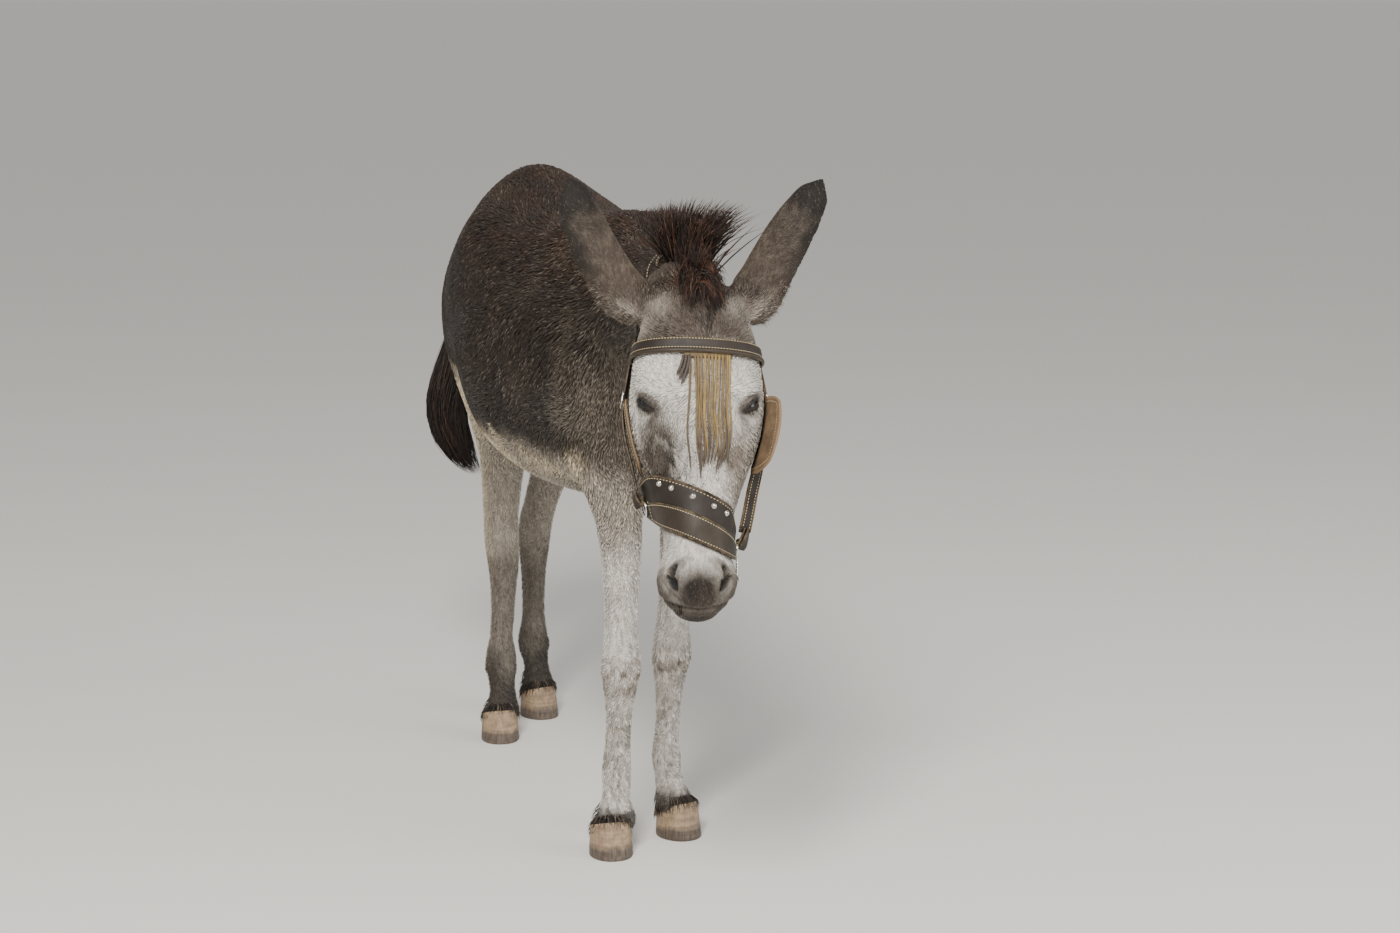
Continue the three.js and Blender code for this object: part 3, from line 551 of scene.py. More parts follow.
def coat_colour(points, normals):
    """The coat's colour, with a painted sheen on its upward faces, and the share of paler ticks in it, at places of
    the skin. On the head it also holds painted shade.
    """
    p, h = in_body(points), in_head(points)
    patch = mottle(p, 60, 3)
    fine = mottle(p, 16, 4)
    x, y, z = p.T
    colour = np.tile(DARK, (len(p), 1))
    # Warmer brown on the upward faces of the coat: a painted sheen, lighter where light falls from above.
    colour = blend(colour, RUSSET_SHEEN, smooth(0.1, 0.9, normals[:, 2]) * (0.75 + 0.25 * patch))
    ticks = 0.10 + 0.06 * patch + 0.05 * smooth(300, -100, y)
    front = smooth(-330, -475, y + 30 * patch)
    colour = blend(colour, GRIZZLE, 0.55 * front * smooth(1120, 830, z + 30 * patch))
    ticks = ticks + 0.12 * front * smooth(1200, 1000, z)
    edge = 762 + 66 * smooth(20, 420, y) + 14 * patch + 6 * fine
    under = smooth(30, -30, z - edge)
    within = smooth(-455, -400, y) * smooth(660, 610, y)
    colour = blend(colour, CREAM, under * within)
    ticks = ticks * (1 - under * within)
    colour, ticks = leg_colour(colour, ticks, p, normals, patch, fine)
    colour = blend(colour, SOOT, 0.7 * smooth(650, 690, y) * smooth(600, 700, z))
    on_head = head_share(p, h)
    face, face_ticks = head_colour(h, patch, fine)
    colour = colour + (face - colour) * on_head[:, None]
    return colour, ticks * (1 - on_head) + face_ticks * on_head


def leg_colour(colour, ticks, p, normals, patch, fine):
    """Pale forelegs with brownish knees, darker hind legs, and dark hair at every coronet."""
    x, y, z = p.T
    fore = smooth(60, -100, y)
    hind = 1 - fore
    upper = smooth(800, 690, z + 24 * patch)
    colour = blend(colour, ASH, fore * upper)
    colour = blend(colour, PALE, fore * smooth(660, 560, z + 30 * patch) * 0.9)
    grain = mottle(p, 7, 33)
    knee = np.exp(-(((z - 345) / 50) ** 2)) * (0.45 + 0.3 * fine + 0.3 * grain)
    colour = blend(colour, BROWN_GREY, fore * knee)
    mottled = smooth(330, 240, z) * smooth(-0.6, 1.0, grain + 0.4 * patch)
    colour = blend(colour, GRIZZLE, fore * mottled * 0.6)
    inner = smooth(-0.3, 0.9, -normals[:, 0] * np.sign(x)) + smooth(0.3, -0.7, normals[:, 1])
    gaskin = hind * smooth(780, 690, z + 24 * patch) * smooth(150, 260, y)
    colour = blend(colour, ASH, gaskin * (0.45 + 0.5 * np.clip(inner, 0, 1)))
    colour = blend(colour, SLATE, hind * smooth(460, 340, z + 25 * patch) * 0.65)
    colour = blend(colour, SOOT, hind * smooth(200, 120, z + 20 * patch) * 0.85)
    colour = blend(colour, SOOT, fore * smooth(96, 84, z + 5 * fine) * 0.8)
    heel = smooth(150, 128, z) * smooth(100, 112, z) * smooth(0.2, 0.8, normals[:, 1])
    colour = blend(colour, SOOT, fore * heel * 0.7)
    pale = np.maximum(fore * upper, gaskin)
    return colour, ticks * (1 - pale) + 0.16 * pale


def head_colour(h, patch, fine):
    """Grey-brown brow, a white blaze over the face, dark eyes and nose, and a pale muzzle. Painted shade darkens the
    lids round the eyes, the sides and underside of the muzzle, and the inside of the nostrils.
    """
    x, y, z = h.T
    colour = np.tile(BROW_GREY, (len(h), 1))
    colour = blend(colour, ASH, 0.8 * spot(h, (62, 40, -66), (26, 50, 40)))
    streaks = smooth(-0.2, 0.7, mottle(h / (0.4, 1, 1.8), 20, 9))
    colour = blend(colour, SOOT, streaks * spot(h, (14, 0, -70), (70, 70, 76), (1,)))
    colour = blend(colour, SLATE, 0.7 * smooth(84, 128, y))
    white = smooth(-126, -146, z + 4 * fine) * smooth(112, 70, y) * smooth(-580, -500, z)
    colour = blend(colour, PALE, white * (0.94 - 0.08 * patch))
    colour = blend(colour, GRIZZLE, white * 0.8 * smooth(44, 70, abs(x)) * smooth(-260, -320, z))
    dapple = 0.5 + 0.5 * smooth(-0.8, 0.6, fine + 0.6 * patch)
    colour = blend(colour, SLATE, 1.5 * dapple * spot(h, (-68, 20, -322), (42, 80, 84), (1,)))
    streak = smooth(-0.3, 0.5, mottle(h / (0.6, 1, 1.5), 18, 19)) * spot(h, (-40, 0, -345), (20, 60, 56), (1,))
    colour = blend(colour, SOOT, 1.3 * streak)
    colour = blend(colour, BROWN_GREY, 1.0 * dapple * spot(h, (60, 10, -340), (30, 50, 66), (1,)))
    colour = blend(colour, GRIZZLE, 0.8 * dapple * spot(h, (-18, 0, -186), (22, 60, 26), (1,)))
    for side, hand in SIDES.items():
        centre, look, slit, up = eye_axes(side)
        off = h - centre
        along, across = off @ slit, off @ up
        front = smooth(0, 8, off @ look)
        # Dark lids round each eye: partly the dark skin of the lids, partly painted shade from the heavy brow.
        lids = np.sqrt(((along + 1) / 26) ** 2 + ((across - 2) / 15) ** 2)
        colour = blend(colour, SLATE, 0.9 * front * smooth(1.35, 0.75, lids))
        rims = np.sqrt((along / 22) ** 2 + ((across + 1.5) / 9.5) ** 2)
        colour = blend(colour, SOOT, front * smooth(1.2, 0.8, rims))
        tear = (along + 26) / 9, (off[:, 2] + 26) / 20
        colour = blend(colour, SLATE, (0.95 if hand < 0 else 0.6) * front * np.exp(-(tear[0] ** 2 + tear[1] ** 2)))
    muzzle = smooth(-500, -530, z)
    colour = blend(colour, MUZZLE, 0.95 * muzzle * smooth(70, 30, y))
    colour = blend(colour, GRIZZLE, 0.6 * smooth(0.1, 0.9, fine + patch) * muzzle)
    colour = blend(colour, NOSE, 2.2 * spot(h, (0, 10, -566), (42, 60, 48), (1,)))
    # Painted shade on the sides of the muzzle and towards its underside and back.
    colour = blend(colour, SLATE, 0.6 * muzzle * smooth(50, 66, abs(x)))
    colour = blend(colour, SLATE, 0.8 * muzzle * smooth(30, 66, y))
    for hand in SIDES.values():
        inside = nostril_shape(h, hand)[0]
        # Darker round each nostril, and black within it as painted shade in the opening.
        colour = blend(colour, SLATE, 0.7 * smooth(2.1, 1.3, inside))
        colour = blend(colour, NOSTRIL_SHADE, smooth(1.2, 0.95, inside))
    lip = np.exp(-(((z + 578 - 0.1 * abs(x)) / 3) ** 2)) * smooth(60, 40, y) * smooth(44, 24, abs(x))
    colour = blend(colour, PINK_GREY, 0.5 * lip)
    colour = blend(colour, SOOT, 0.9 * smooth(-583, -590, z))
    ears, rim, tip, root = ear_marks(h, fine)
    colour = blend(colour, EAR_GREY, ears)
    colour = blend(colour, GRIZZLE, ears * smooth(-0.2, 0.8, mottle(h, 7, 29)) * 0.3)
    colour = blend(colour, ASH, 0.9 * root)
    colour = blend(colour, SOOT, 0.92 * np.maximum(rim, tip))
    ticks = 0.20 - 0.16 * white * (1 - muzzle) - 0.14 * ears
    return colour, np.clip(ticks, 0.02, 1)


def ear_marks(h, fine):
    """Shares of ear, of its dark lower edge, of its black tip, and of its pale root."""
    ears = ear_share(h)
    rim, tip, root = np.zeros((3, len(h)))
    for side, hand in SIDES.items():
        base, along, bow, lengthways, *_ = ear_frame(side)
        off = h - np.array(base)
        t = off @ np.array(lengthways) / along.length
        here = (np.sign(h[:, 0]) == hand) * smooth(140, 110, np.linalg.norm(off - np.outer(t, along), axis=1))
        bowed = np.outer(np.sin(np.pi * np.clip(t, 0, 1)), bow)
        lower = Vector((0.84 * hand, 0.2, -0.53))
        lower = np.array((lower - lengthways * lower.dot(lengthways)).normalized())
        out = (off - np.outer(t, along) - bowed) @ lower / 44
        rim = np.maximum(rim, here * smooth(0.05, 0.75, out + 0.08 * fine) * smooth(0.22, 0.6, t))
        tip = np.maximum(tip, here * (smooth(0.70, 0.86, t + 0.02 * fine) + 0.45 * smooth(0.35, 0.75, t)))
        root = np.maximum(root, here * smooth(0.30, 0.12, t) * smooth(-0.1, 0.06, t) * smooth(0.0, 0.7, out))
    return ears, rim, tip, root


# ---------------------------------------------------------------- lie of the coat
def lie_of_coat(points, normals):
    """The way that the hair points, along the skin."""
    p, h = in_body(points), in_head(points)
    x, y, z = p.T
    top = smooth(0.55, 0.95, normals[:, 2])
    way = np.stack([0 * x, 0.75 + 0.25 * top, -0.7 * (1 - top)], 1)
    breast = smooth(-380, -470, y) * smooth(1050, 950, z)
    way += (np.array((0, 0.0, -1.0)) - way) * breast[:, None]
    leg = smooth(800, 640, z) * smooth(0.0, 0.5, 1 - abs(normals[:, 2]))
    way += (np.array((0, 0.15, -1.0)) - way) * leg[:, None]
    tail = smooth(640, 690, y) * smooth(600, 700, z)
    way += (np.array((-0.3, 0.35, -1.0)) - way) * tail[:, None]
    hx, hy, hz = h.T
    above = smooth(-250, -190, hz)[:, None]
    down = np.stack([hx / 260, 0.35 + 0 * hx, -1 + 0 * hx], 1)
    up = np.stack([hx / 60, 0.35 + 0 * hx, (hz + 225) / 60], 1)
    face = down * (1 - above) + up * above
    for side in SIDES:
        base, along, _, lengthways, *_ = ear_frame(side)
        near = (ear_share(h) * (np.sign(hx) == SIDES[side]))[:, None]
        face += (np.array(lengthways) - face) * near
    way += (face @ TURN.T - way) * head_share(p, h)[:, None]
    swirl = mottle(points, 0.09, 8) * 0.5
    side_way = np.cross(normals, way)
    way = way + side_way * swirl[:, None]
    way -= normals * (way * normals).sum(1)[:, None]
    return way / np.maximum(np.linalg.norm(way, axis=1), 1e-6)[:, None]


# ---------------------------------------------------------------- hair as mesh
def unit(rows):
    return rows / np.maximum(np.linalg.norm(rows, axis=-1, keepdims=True), 1e-9)


class Surface:
    """A triangle surface, to take roots from, to lay hair along, and to find where a ray meets it."""

    def __init__(self, mesh, co=None, keep=None):
        mesh.calc_loop_triangles()
        corners = np.empty(len(mesh.loop_triangles) * 3, np.int32)
        mesh.loop_triangles.foreach_get("vertices", corners)
        self.corners = corners.reshape(-1, 3)
        if keep is not None:
            self.corners = self.corners[keep[self.corners].all(1)]
        self.co = places_of(mesh) if co is None else co
        self.normals = normals_of(mesh)
        tri = self.co[self.corners]
        self.area = np.linalg.norm(np.cross(tri[:, 1] - tri[:, 0], tri[:, 2] - tri[:, 0]), axis=1)
        self.middle = tri.mean(1)
        self.facing = unit(self.normals[self.corners].mean(1))
        self.tree = BVHTree.FromPolygons(self.co.tolist(), self.corners.tolist())

    def roots(self, weight, count, rng):
        """Places and normals, spread by area times weight."""
        heap = np.cumsum(self.area * weight)
        pick = (np.arange(count) + rng.random(count)) / count * heap[-1]
        face = np.minimum(np.searchsorted(heap, pick), len(heap) - 1)
        a, b = rng.random((2, count))
        flip = a + b > 1
        a, b = np.where(flip, 1 - a, a), np.where(flip, 1 - b, b)
        parts = np.stack([1 - a - b, a, b], 1)[:, :, None]
        corners = self.corners[face]
        normal = unit((self.normals[corners] * parts).sum(1))
        return (self.co[corners] * parts).sum(1), normal

    def over(self, points, height):
        """The places at a height over the surface that are nearest to the given places."""
        out = np.empty_like(points)
        for i, point in enumerate(points.tolist()):
            place, normal, _, _ = self.tree.find_nearest(point)
            out[i] = place + normal * height[i]
        return out

    def heights(self, towards, inward, far=400.0):
        """How far before each place a ray towards it meets the surface."""
        out = np.zeros(len(towards))
        for i, (place, way) in enumerate(zip(towards - inward * far, inward)):
            hit = self.tree.ray_cast(place.tolist(), way.tolist())
            out[i] = far - hit[3] if hit[0] else 0
        return out


def strands(name, rings, tips, colours, spots, patch=0.003):
    """A mesh of joined, tapering strands. rings holds each strand's places as (strand, ring,
    corner, xyz), and spots where each one lies on the unwrap."""
    count, levels, corners, _ = rings.shape
    per = levels * corners + 1
    co = np.concatenate([rings.reshape(count, -1, 3), tips[:, None]], 1).reshape(-1, 3)
    start = (np.arange(count) * per)[:, None]
    around = np.arange(corners)
    step = (around + 1) % corners
    quads = np.concatenate([
        np.stack([around, step, step + corners, around + corners], 1) + level * corners
        for level in range(levels - 1)
    ]).ravel()
    last = (levels - 1) * corners
    cap = np.stack([around + last, step + last, np.full(corners, per - 1)], 1).ravel()
    loops = np.concatenate([start + quads, start + cap], 1).ravel()
    sizes = np.tile([4] * (len(quads) // 4) + [3] * corners, count)
    mesh = bpy.data.meshes.new(name)
    mesh.vertices.add(len(co))
    mesh.vertices.foreach_set("co", co.ravel())
    mesh.loops.add(len(loops))
    mesh.loops.foreach_set("vertex_index", loops.astype(np.int32))
    mesh.polygons.add(len(sizes))
    mesh.polygons.foreach_set("loop_start", (np.cumsum(sizes) - sizes).astype(np.int32))
    mesh.update(calc_edges=True)
    paint(mesh, colours.reshape(-1, 3))
    across = np.concatenate([np.tile(np.linspace(-1, 1, corners), levels), [0]])
    along = np.concatenate([np.repeat(np.linspace(-1, 0.5, levels), corners), [1]])
    uv = spots[:, None] + np.stack([across, along], 1) * patch / 2
    uv = np.clip(uv.reshape(-1, 2)[loops], 0, 1)
    mesh.uv_layers.new(name="OFBake").data.foreach_set("uv", uv.ravel())
    return mesh


def paint(mesh, colours):
    """Keeps a colour on every vertex, for the material to read."""
    layer = mesh.color_attributes.new("coat", "FLOAT_COLOR", "POINT")
    rgba = np.ones((len(mesh.vertices), 4))
    rgba[:, :3] = colours
    layer.data.foreach_set("color", rgba.ravel())


def spread(flat):
    """Fits places on an unwrap to the whole square."""
    low, high = flat.min(0), flat.max(0)
    return 0.005 + 0.99 * (flat - low) / np.maximum(high - low, 1e-6)


def round_axis(p, base, axis, front):
    """Unwraps places by their angle round an axis, from its front, and their way along it."""
    axis = unit(np.array(axis, float))
    front = np.array(front, float)
    front = unit(front - axis * (front @ axis))
    off = p - np.array(base)
    return np.stack([np.arctan2(off @ np.cross(axis, front), off @ front), off @ axis], 1)


# ---------------------------------------------------------------- the short coat
def around_barrel(p):
    """Degrees round the barrel from the top of the back, for places in the body's frame."""
    return np.degrees(np.arctan2(p[:, 0], p[:, 2] - 930))


def legs_unwrap(p, h):
    """Each leg's unwrap, side by side."""
    left = p[:, 0] > 0
    rows = np.where(p[:, 1] < 0, 0, 1)
    middle = np.stack([np.where(left, 60, -74), np.where(rows == 0, -385, 520), 0 * p[:, 0]], 1)
    flat = round_axis(p - middle, (0, 0, 0), (0, 0, 1), (0, -1, 0))
    flat[:, 0] += 7 * left
    return flat


def ears_unwrap(p, h):
    """The back and the inside of each ear, as four strips."""
    flat = np.zeros((len(h), 2))
    for side, hand in SIDES.items():
        base, along, _, lengthways, backward, _ = ear_frame(side)
        here = np.sign(h[:, 0]) == hand
        strip = round_axis(h, base, lengthways, -backward)
        strip[:, 0] += 7 * (hand > 0) + 14 * (ear_hollow(h, side) > 0.5)
        flat[here] = strip[here]
    return flat


def ear_hollow(h, side):
    """1 in the hollow of an ear, for places in the head's frame."""
    base, along, bow, lengthways, backward, sideways = ear_frame(side)
    off = h - np.array(base)
    t = off @ np.array(lengthways) / along.length
    middle = np.outer(t, along) + np.outer(np.sin(np.pi * np.clip(t, 0, 1)), bow)
    radius = along_path(EAR_ROWS, t)[:, 0]
    centre = middle + np.outer(radius * 0.4, backward)
    return 1.0 * (np.linalg.norm(off - centre, axis=1) < radius - 3.2)


COAT = {
    "head": lambda p, h: round_axis(h, (0, 90, -100), (0, 0.06, -1), (0, -1, 0)),
    "ears": ears_unwrap,
    "neck": lambda p, h: round_axis(p, (-8, -470, 1010), (-0.12, -1, 0.08), (0, 0, 1)),
    "back": lambda p, h: round_axis(p, (0, 0, 930), (0, -1, 0), (0, 0, 1)),
    "flank_left": lambda p, h: round_axis(p, (0, 0, 930), (0, -1, 0), (1, 0, 0)),
    "flank_right": lambda p, h: round_axis(p, (0, 0, 930), (0, -1, 0), (-1, 0, 0)),
    "belly": lambda p, h: round_axis(p, (0, 0, 930), (0, -1, 0), (0, 0, -1)),
    "forelegs": legs_unwrap,
    "hindlegs": legs_unwrap,
}
TUFTS = 17400
LEG_TOP = 690


def part_of_coat(p, h):
    """The name of the piece of coat that each place belongs to."""
    turn = around_barrel(p)
    part = np.where(abs(turn) < 48, "back", np.where(turn > 0, "flank_left", "flank_right"))
    part = np.where(abs(turn) > 128, "belly", part).astype("<U12")
    part[(p[:, 1] < -500) & (p[:, 2] > 780)] = "neck"
    low = p[:, 2] < LEG_TOP
    part[low & (p[:, 1] < -200) & (p[:, 1] > -520)] = "forelegs"
    part[low & (p[:, 1] > 270)] = "hindlegs"
    part[head_share(p, h) > 0.5] = "head"
    part[ear_share(h) > 0.5] = "ears"
    return part


def tuft_size(p, h):
    """Length and width of a tuft, in metres."""
    long = 20 - 5 * smooth(-380, -520, p[:, 1])
    long -= (long - 8.5) * smooth(740, 560, p[:, 2])
    long -= 2.5 * smooth(160, 80, p[:, 2])
    on_head = head_share(p, h)
    face = 11 - 5.5 * smooth(-330, -500, h[:, 2]) - 5.5 * near_eye(h, 40)
    ears = ear_share(h)
    face = face + (6.5 - face) * ears
    long = long + (face - long) * on_head
    wide = 0.21 * long - 1.0 * (1 - on_head) * smooth(12, 20, long)
    return long / 1000, wide / 1000


def near_eye(h, reach):
    near = np.zeros(len(h))
    for side in SIDES:
        centre = eye_axes(side)[0]
        near = np.maximum(near, smooth(reach, reach * 0.5, np.linalg.norm(h - centre, axis=1)))
    return near


def bald(p, h, facing):
    """1 where no tuft grows: within the eyelids and the nostrils."""
    bare = np.zeros(len(p))
    for side, hand in SIDES.items():
        far = np.linalg.norm(h - eye_axes(side)[0], axis=1)
        bare = np.maximum(bare, far < 20.3)
        bare = np.maximum(bare, nostril_shape(h, hand)[0] < 1.15)
    return bare


def make_tufts(part, surface, which, seed):
    """Short tapering tufts that lie along the skin at the coat's depth."""
    rng = np.random.default_rng(seed)
    p, h = in_body(surface.middle), in_head(surface.middle)
    dense = tuft_size(p, h)[0] ** -1.2
    weight = (which == part) * dense * (1 - bald(p, h, surface.facing))
    root, normal = surface.roots(weight, TUFTS, rng)
    p, h = in_body(root), in_head(root)
    long, wide = tuft_size(p, h)
    long = long * rng.uniform(0.7, 1.35, TUFTS)
    chance = rng.random(TUFTS)
    wide = wide * rng.uniform(0.7, 1.25, TUFTS) * np.where(chance < 0.2, 0.5, 1)
    way = lie_of_coat(root, normal)
    turn = rng.normal(0, 0.22, TUFTS)[:, None]
    way = way * np.cos(turn) + np.cross(normal, way) * np.sin(turn)
    depth = coat_depth(root) * rng.uniform(0.7, 1.1, TUFTS)
    middle = surface.over(root + way * (long * 0.5)[:, None], depth * 0.75)
    tips = surface.over(root + way * long[:, None], depth)
    across = unit(np.cross(normal, way))
    section = ((-0.5, 0.0), (0.5, 0.0), (0.0, 0.4))
    rings = np.empty((TUFTS, 2, 3, 3))
    for level, (at, share) in enumerate(((root - normal * 0.0008, 0.75), (middle, 1.0))):
        for corner, (sideways, up) in enumerate(section):
            size = (wide * share)[:, None]
            rings[:, level, corner] = at + across * size * sideways + normal * size * up
    flat = COAT[part](p, h)
    return strands(f"coat_{part}", rings, tips, tuft_shades(root, normal, chance, rng), spread(flat))


def tuft_shades(root, normal, chance, rng):
    """Each tuft has its own tone. Some are much paler, some darker, and all are darker at the root, as painted shade
    where the tufts cover one another.
    """
    count = len(root)
    colour, ticks = coat_colour(root, normal)
    even = head_share(in_body(root), in_head(root))
    light = colour * np.exp(rng.normal(0, 1, count) * (0.17 - 0.09 * even))[:, None]
    pale = chance < ticks
    light = np.where(pale[:, None], colour * 0.68 + TICK * 0.32, light)
    dark = (rng.random(count) < 0.14 - 0.10 * even) & ~pale
    light = np.where(dark[:, None], light * 0.6, light)
    shades = np.repeat(light[:, None], 7, 1)
    # Painted shade at the root of each tuft, and a slightly paler tip.
    shades[:, :3] *= 0.7
    shades[:, 6] *= 1.15
    return shades


# ---------------------------------------------------------------- long hair
def make_locks(name, line, radius, colours, spots, levels=6):
    """Curved tapering locks. line holds each lock's middle as (lock, place, xyz), root to tip."""
    count, places, _ = line.shape
    along = unit(np.gradient(line, axis=1))
    across = unit(np.cross(along, np.array((0.31, -0.86, 0.4))))
    over = np.cross(along, across)
    share = np.linspace(0, 1, places)
    profile = (1 - share**1.8) * (0.6 + 0.4 * np.minimum(share * 4, 1))
    rings = np.empty((count, places - 1, 3, 3))
    for corner in range(3):
        swing = corner * math.tau / 3
        off = across * math.cos(swing) + over * math.sin(swing) * 0.55
        size = radius[:, None] * profile[None]
        rings[:, :, corner] = (line + off * size[:, :, None])[:, :-1]
    shades = np.repeat(colours[:, None], (places - 1) * 3 + 1, 1)
    fade = np.concatenate([np.repeat(0.7 + 0.5 * share[:-1], 3), [1.25]])
    return strands(name, rings, line[:, -1], shades * fade[None, :, None], spots)


def curve(root, control, tip, places):
    t = np.linspace(0, 1, places)[None, :, None]
    return (1 - t) ** 2 * root[:, None] + 2 * t * (1 - t) * control[:, None] + t * t * tip[:, None]


def hair_colours(count, rng, base=("221915", "3b2720", "5b3c2c")):
    """Dark hair with redder and paler locks."""
    tones = np.array([tint(c) for c in base])
    pick = rng.choice(len(tones), count, p=(0.62, 0.28, 0.10))
    return tones[pick] * np.exp(rng.normal(0, 0.2, count))[:, None]


# Along the crest: body Y, the crest's X, and how high the mane stands over the skin.
MANE = [
    (-350, -1, 26), (-420, -8, 46), (-500, -17, 62), (-590, -32, 78),
    (-680, -50, 96), (-760, -59, 116), (-826, -66, 126),
]


def make_mane(surface, count=2600):
    rng = np.random.default_rng(21)
    share = rng.random(count) ** 0.8
    y, x, tall = along_path(MANE, share).T
    x = x + rng.normal(0, 9, count)
    above = np.stack([x, y, np.full(count, 1400.0)], 1)
    top = np.array([surface.tree.ray_cast(((a + ORIGIN_ROW) / 1000).tolist(), (0, 0, -1))[0] or a / 1000
                    for a in above])
    root = in_body(top) - (0, 0, 6)
    tall = tall * rng.uniform(0.5, 1.08, count)
    clump = mottle(root, 26, 12)
    front = smooth(-620, -800, y)
    stray = rng.random(count) < 0.12
    lean = rng.normal(0, 0.14, count) * (1 + 1.6 * stray) + 0.013 * (x + 46) + (0.20 + 0.40 * front) * clump
    tip = root + np.stack([
        tall * (lean + 0.10 * front) + rng.normal(0, 5, count),
        tall * (-0.06 - 0.42 * front + 0.25 * mottle(root, 30, 13)) + rng.normal(0, 9, count),
        tall * (1 - 0.25 * np.minimum(abs(lean), 1)),
    ], 1)
    control = (root + tip) / 2 + np.stack([rng.normal(0, 6, count), 14 + rng.normal(0, 6, count), 0.16 * tall], 1)
    line = curve(root, control, tip, 6)
    line += mane_waves(line, rng)
    radius = rng.uniform(1.0, 2.3, count) * 1e-3
    spots = spread(np.stack([root[:, 1], root[:, 0]], 1))
    return make_locks("mane", (line + ORIGIN_ROW) / 1000, radius, hair_colours(count, rng), spots)


def mane_waves(line, rng):
    t = np.linspace(0, 1, line.shape[1])[None, :, None]
    phase = rng.uniform(0, 6.28, (len(line), 1, 3))
    return np.sin(5 * t + phase) * t * 3.5


def make_forelock(count=1300):
    """Falls forward between the ears to a point on the brow, with wisps that stand up."""
    rng = np.random.default_rng(22)
    root = np.stack([rng.normal(-2, 13, count), rng.uniform(14, 74, count), np.zeros(count)], 1)
    root[:, 2] = OVER_SKIN.heights(root, np.tile((0.0, 0.0, -1.0), (count, 1))) - 5
    fall = rng.random(count) < 0.6
    aim = np.where(rng.random(count) < 0.7, 30, -12) + rng.normal(0, 9, count)
    low = np.stack([aim, -12 + rng.normal(0, 3, count), rng.uniform(-82, -14, count)], 1)
    clump = mottle(root, 22, 14)
    high = root + np.stack([
        6 + 34 * clump + rng.normal(0, 7, count), rng.normal(-26, 10, count), rng.uniform(34, 84, count),
    ], 1)
    tip = np.where(fall[:, None], low, high)
    bow = np.stack([rng.normal(0, 5, count), np.where(fall, -20, 4), np.where(fall, 34, 12)], 1)
    control = (root + tip) / 2 + bow
    line = curve(root, control, tip, 6)
    line += mane_waves(line, rng)
    radius = rng.uniform(0.9, 2.0, count) * 1e-3
    places = from_head(line.reshape(-1, 3)).reshape(line.shape)
    return make_locks("forelock", places, radius, hair_colours(count, rng), spread(root[:, :2]))


def make_ear_hair(count=420):
    """Long pale hair under the lower edge of each ear, thickest at its root."""
    rng = np.random.default_rng(25)
    lines, spots = [], []
    for side, hand in SIDES.items():
        base, along, bow, lengthways, backward, sideways = map(np.array, ear_frame(side))
        out = -sideways * np.sign(sideways[2])
        t = (0.04 + 0.36 * rng.random(count) ** 1.7)[:, None]
        radius, edge = along_path(EAR_ROWS, t[:, 0]).T[:, :, None]
        turn = np.radians(np.minimum(edge, rng.uniform(62, 118, (count, 1))))
        root = base + along * t + bow * np.sin(math.pi * t)
        root = root + backward * (radius * 0.4 - np.cos(turn) * radius) + out * (np.sin(turn) * radius - 1.5)
        long = rng.uniform(8, 20, (count, 1)) * (1.25 - 2.2 * t)
        way = unit(0.55 * out + 0.6 * lengthways + (0, 0, -0.35) + rng.normal(0, 0.2, (count, 3)))
        control = root + (0.15 * out + 0.35 * lengthways) * long
        lines.append(curve(root, control, root + way * long, 5))
        spots.append(np.concatenate([t + (hand > 0), turn], 1))
    line = np.concatenate(lines)
    places = from_head(line.reshape(-1, 3)).reshape(line.shape)
    radius = rng.uniform(0.35, 0.8, len(line)) * 1e-3
    colours = hair_colours(len(line), rng, ("5d5248", "7b7064", "a0968a"))
    return make_locks("ear_hair", places, radius, colours, spread(np.concatenate(spots)))


# Down the middle of the tail's long hair: its place and its radius.
TAIL = [
    (-32, 704, 990, 28), (-52, 714, 930, 33), (-66, 718, 890, 38), (-100, 712, 800, 44), (-122, 700, 720, 46),
    (-118, 690, 650, 44), (-92, 684, 590, 34), (-60, 682, 548, 12),
]


def make_tail_hair(count=2700):
    rng = np.random.default_rng(23)
    swing, out = rng.uniform(0, math.tau, count), np.sqrt(rng.random(count))
    first = rng.random(count) ** 1.5 * 0.55
    last = np.minimum(first + rng.uniform(0.35, 0.75, count), rng.uniform(0.8, 1.0, count))
    places = 8
    t = first[:, None] + (last - first)[:, None] * np.linspace(0, 1, places)
    row = along_path(TAIL, t.ravel()).reshape(count, places, 4)
    grow = np.linspace(0, 1, places)[None]
    width = row[:, :, 3] * (0.35 + 0.65 * np.minimum(grow * 2.2, 1)) * out[:, None]
    turn = swing[:, None] + 0.5 * grow * rng.normal(0, 1, (count, 1))
    line = row[:, :, :3].copy()
    line[:, :, 0] += width * np.cos(turn)
    line[:, :, 1] += width * np.sin(turn)
    line += mane_waves(line, rng) * 0.8
    radius = rng.uniform(1.0, 2.4, count) * 1e-3
    spots = spread(np.stack([swing, first], 1))
    colours = hair_colours(count, rng, ("191412", "2a1e19", "3d2c23"))
    return make_locks("tail_hair", (line + ORIGIN_ROW) / 1000, radius, colours, spots)


def hoof_places(leg, side, ahead, up):
    """Metres, from millimetres to the side of a hoof's middle, forward of it, and over the floor."""
    x, y, turn = LEGS[leg]
    c, s = math.cos(math.radians(turn)), math.sin(math.radians(turn))
    p = np.stack([x + c * side + s * ahead, y + s * side - c * ahead, up], -1)
    return (p + ORIGIN_ROW) / 1000


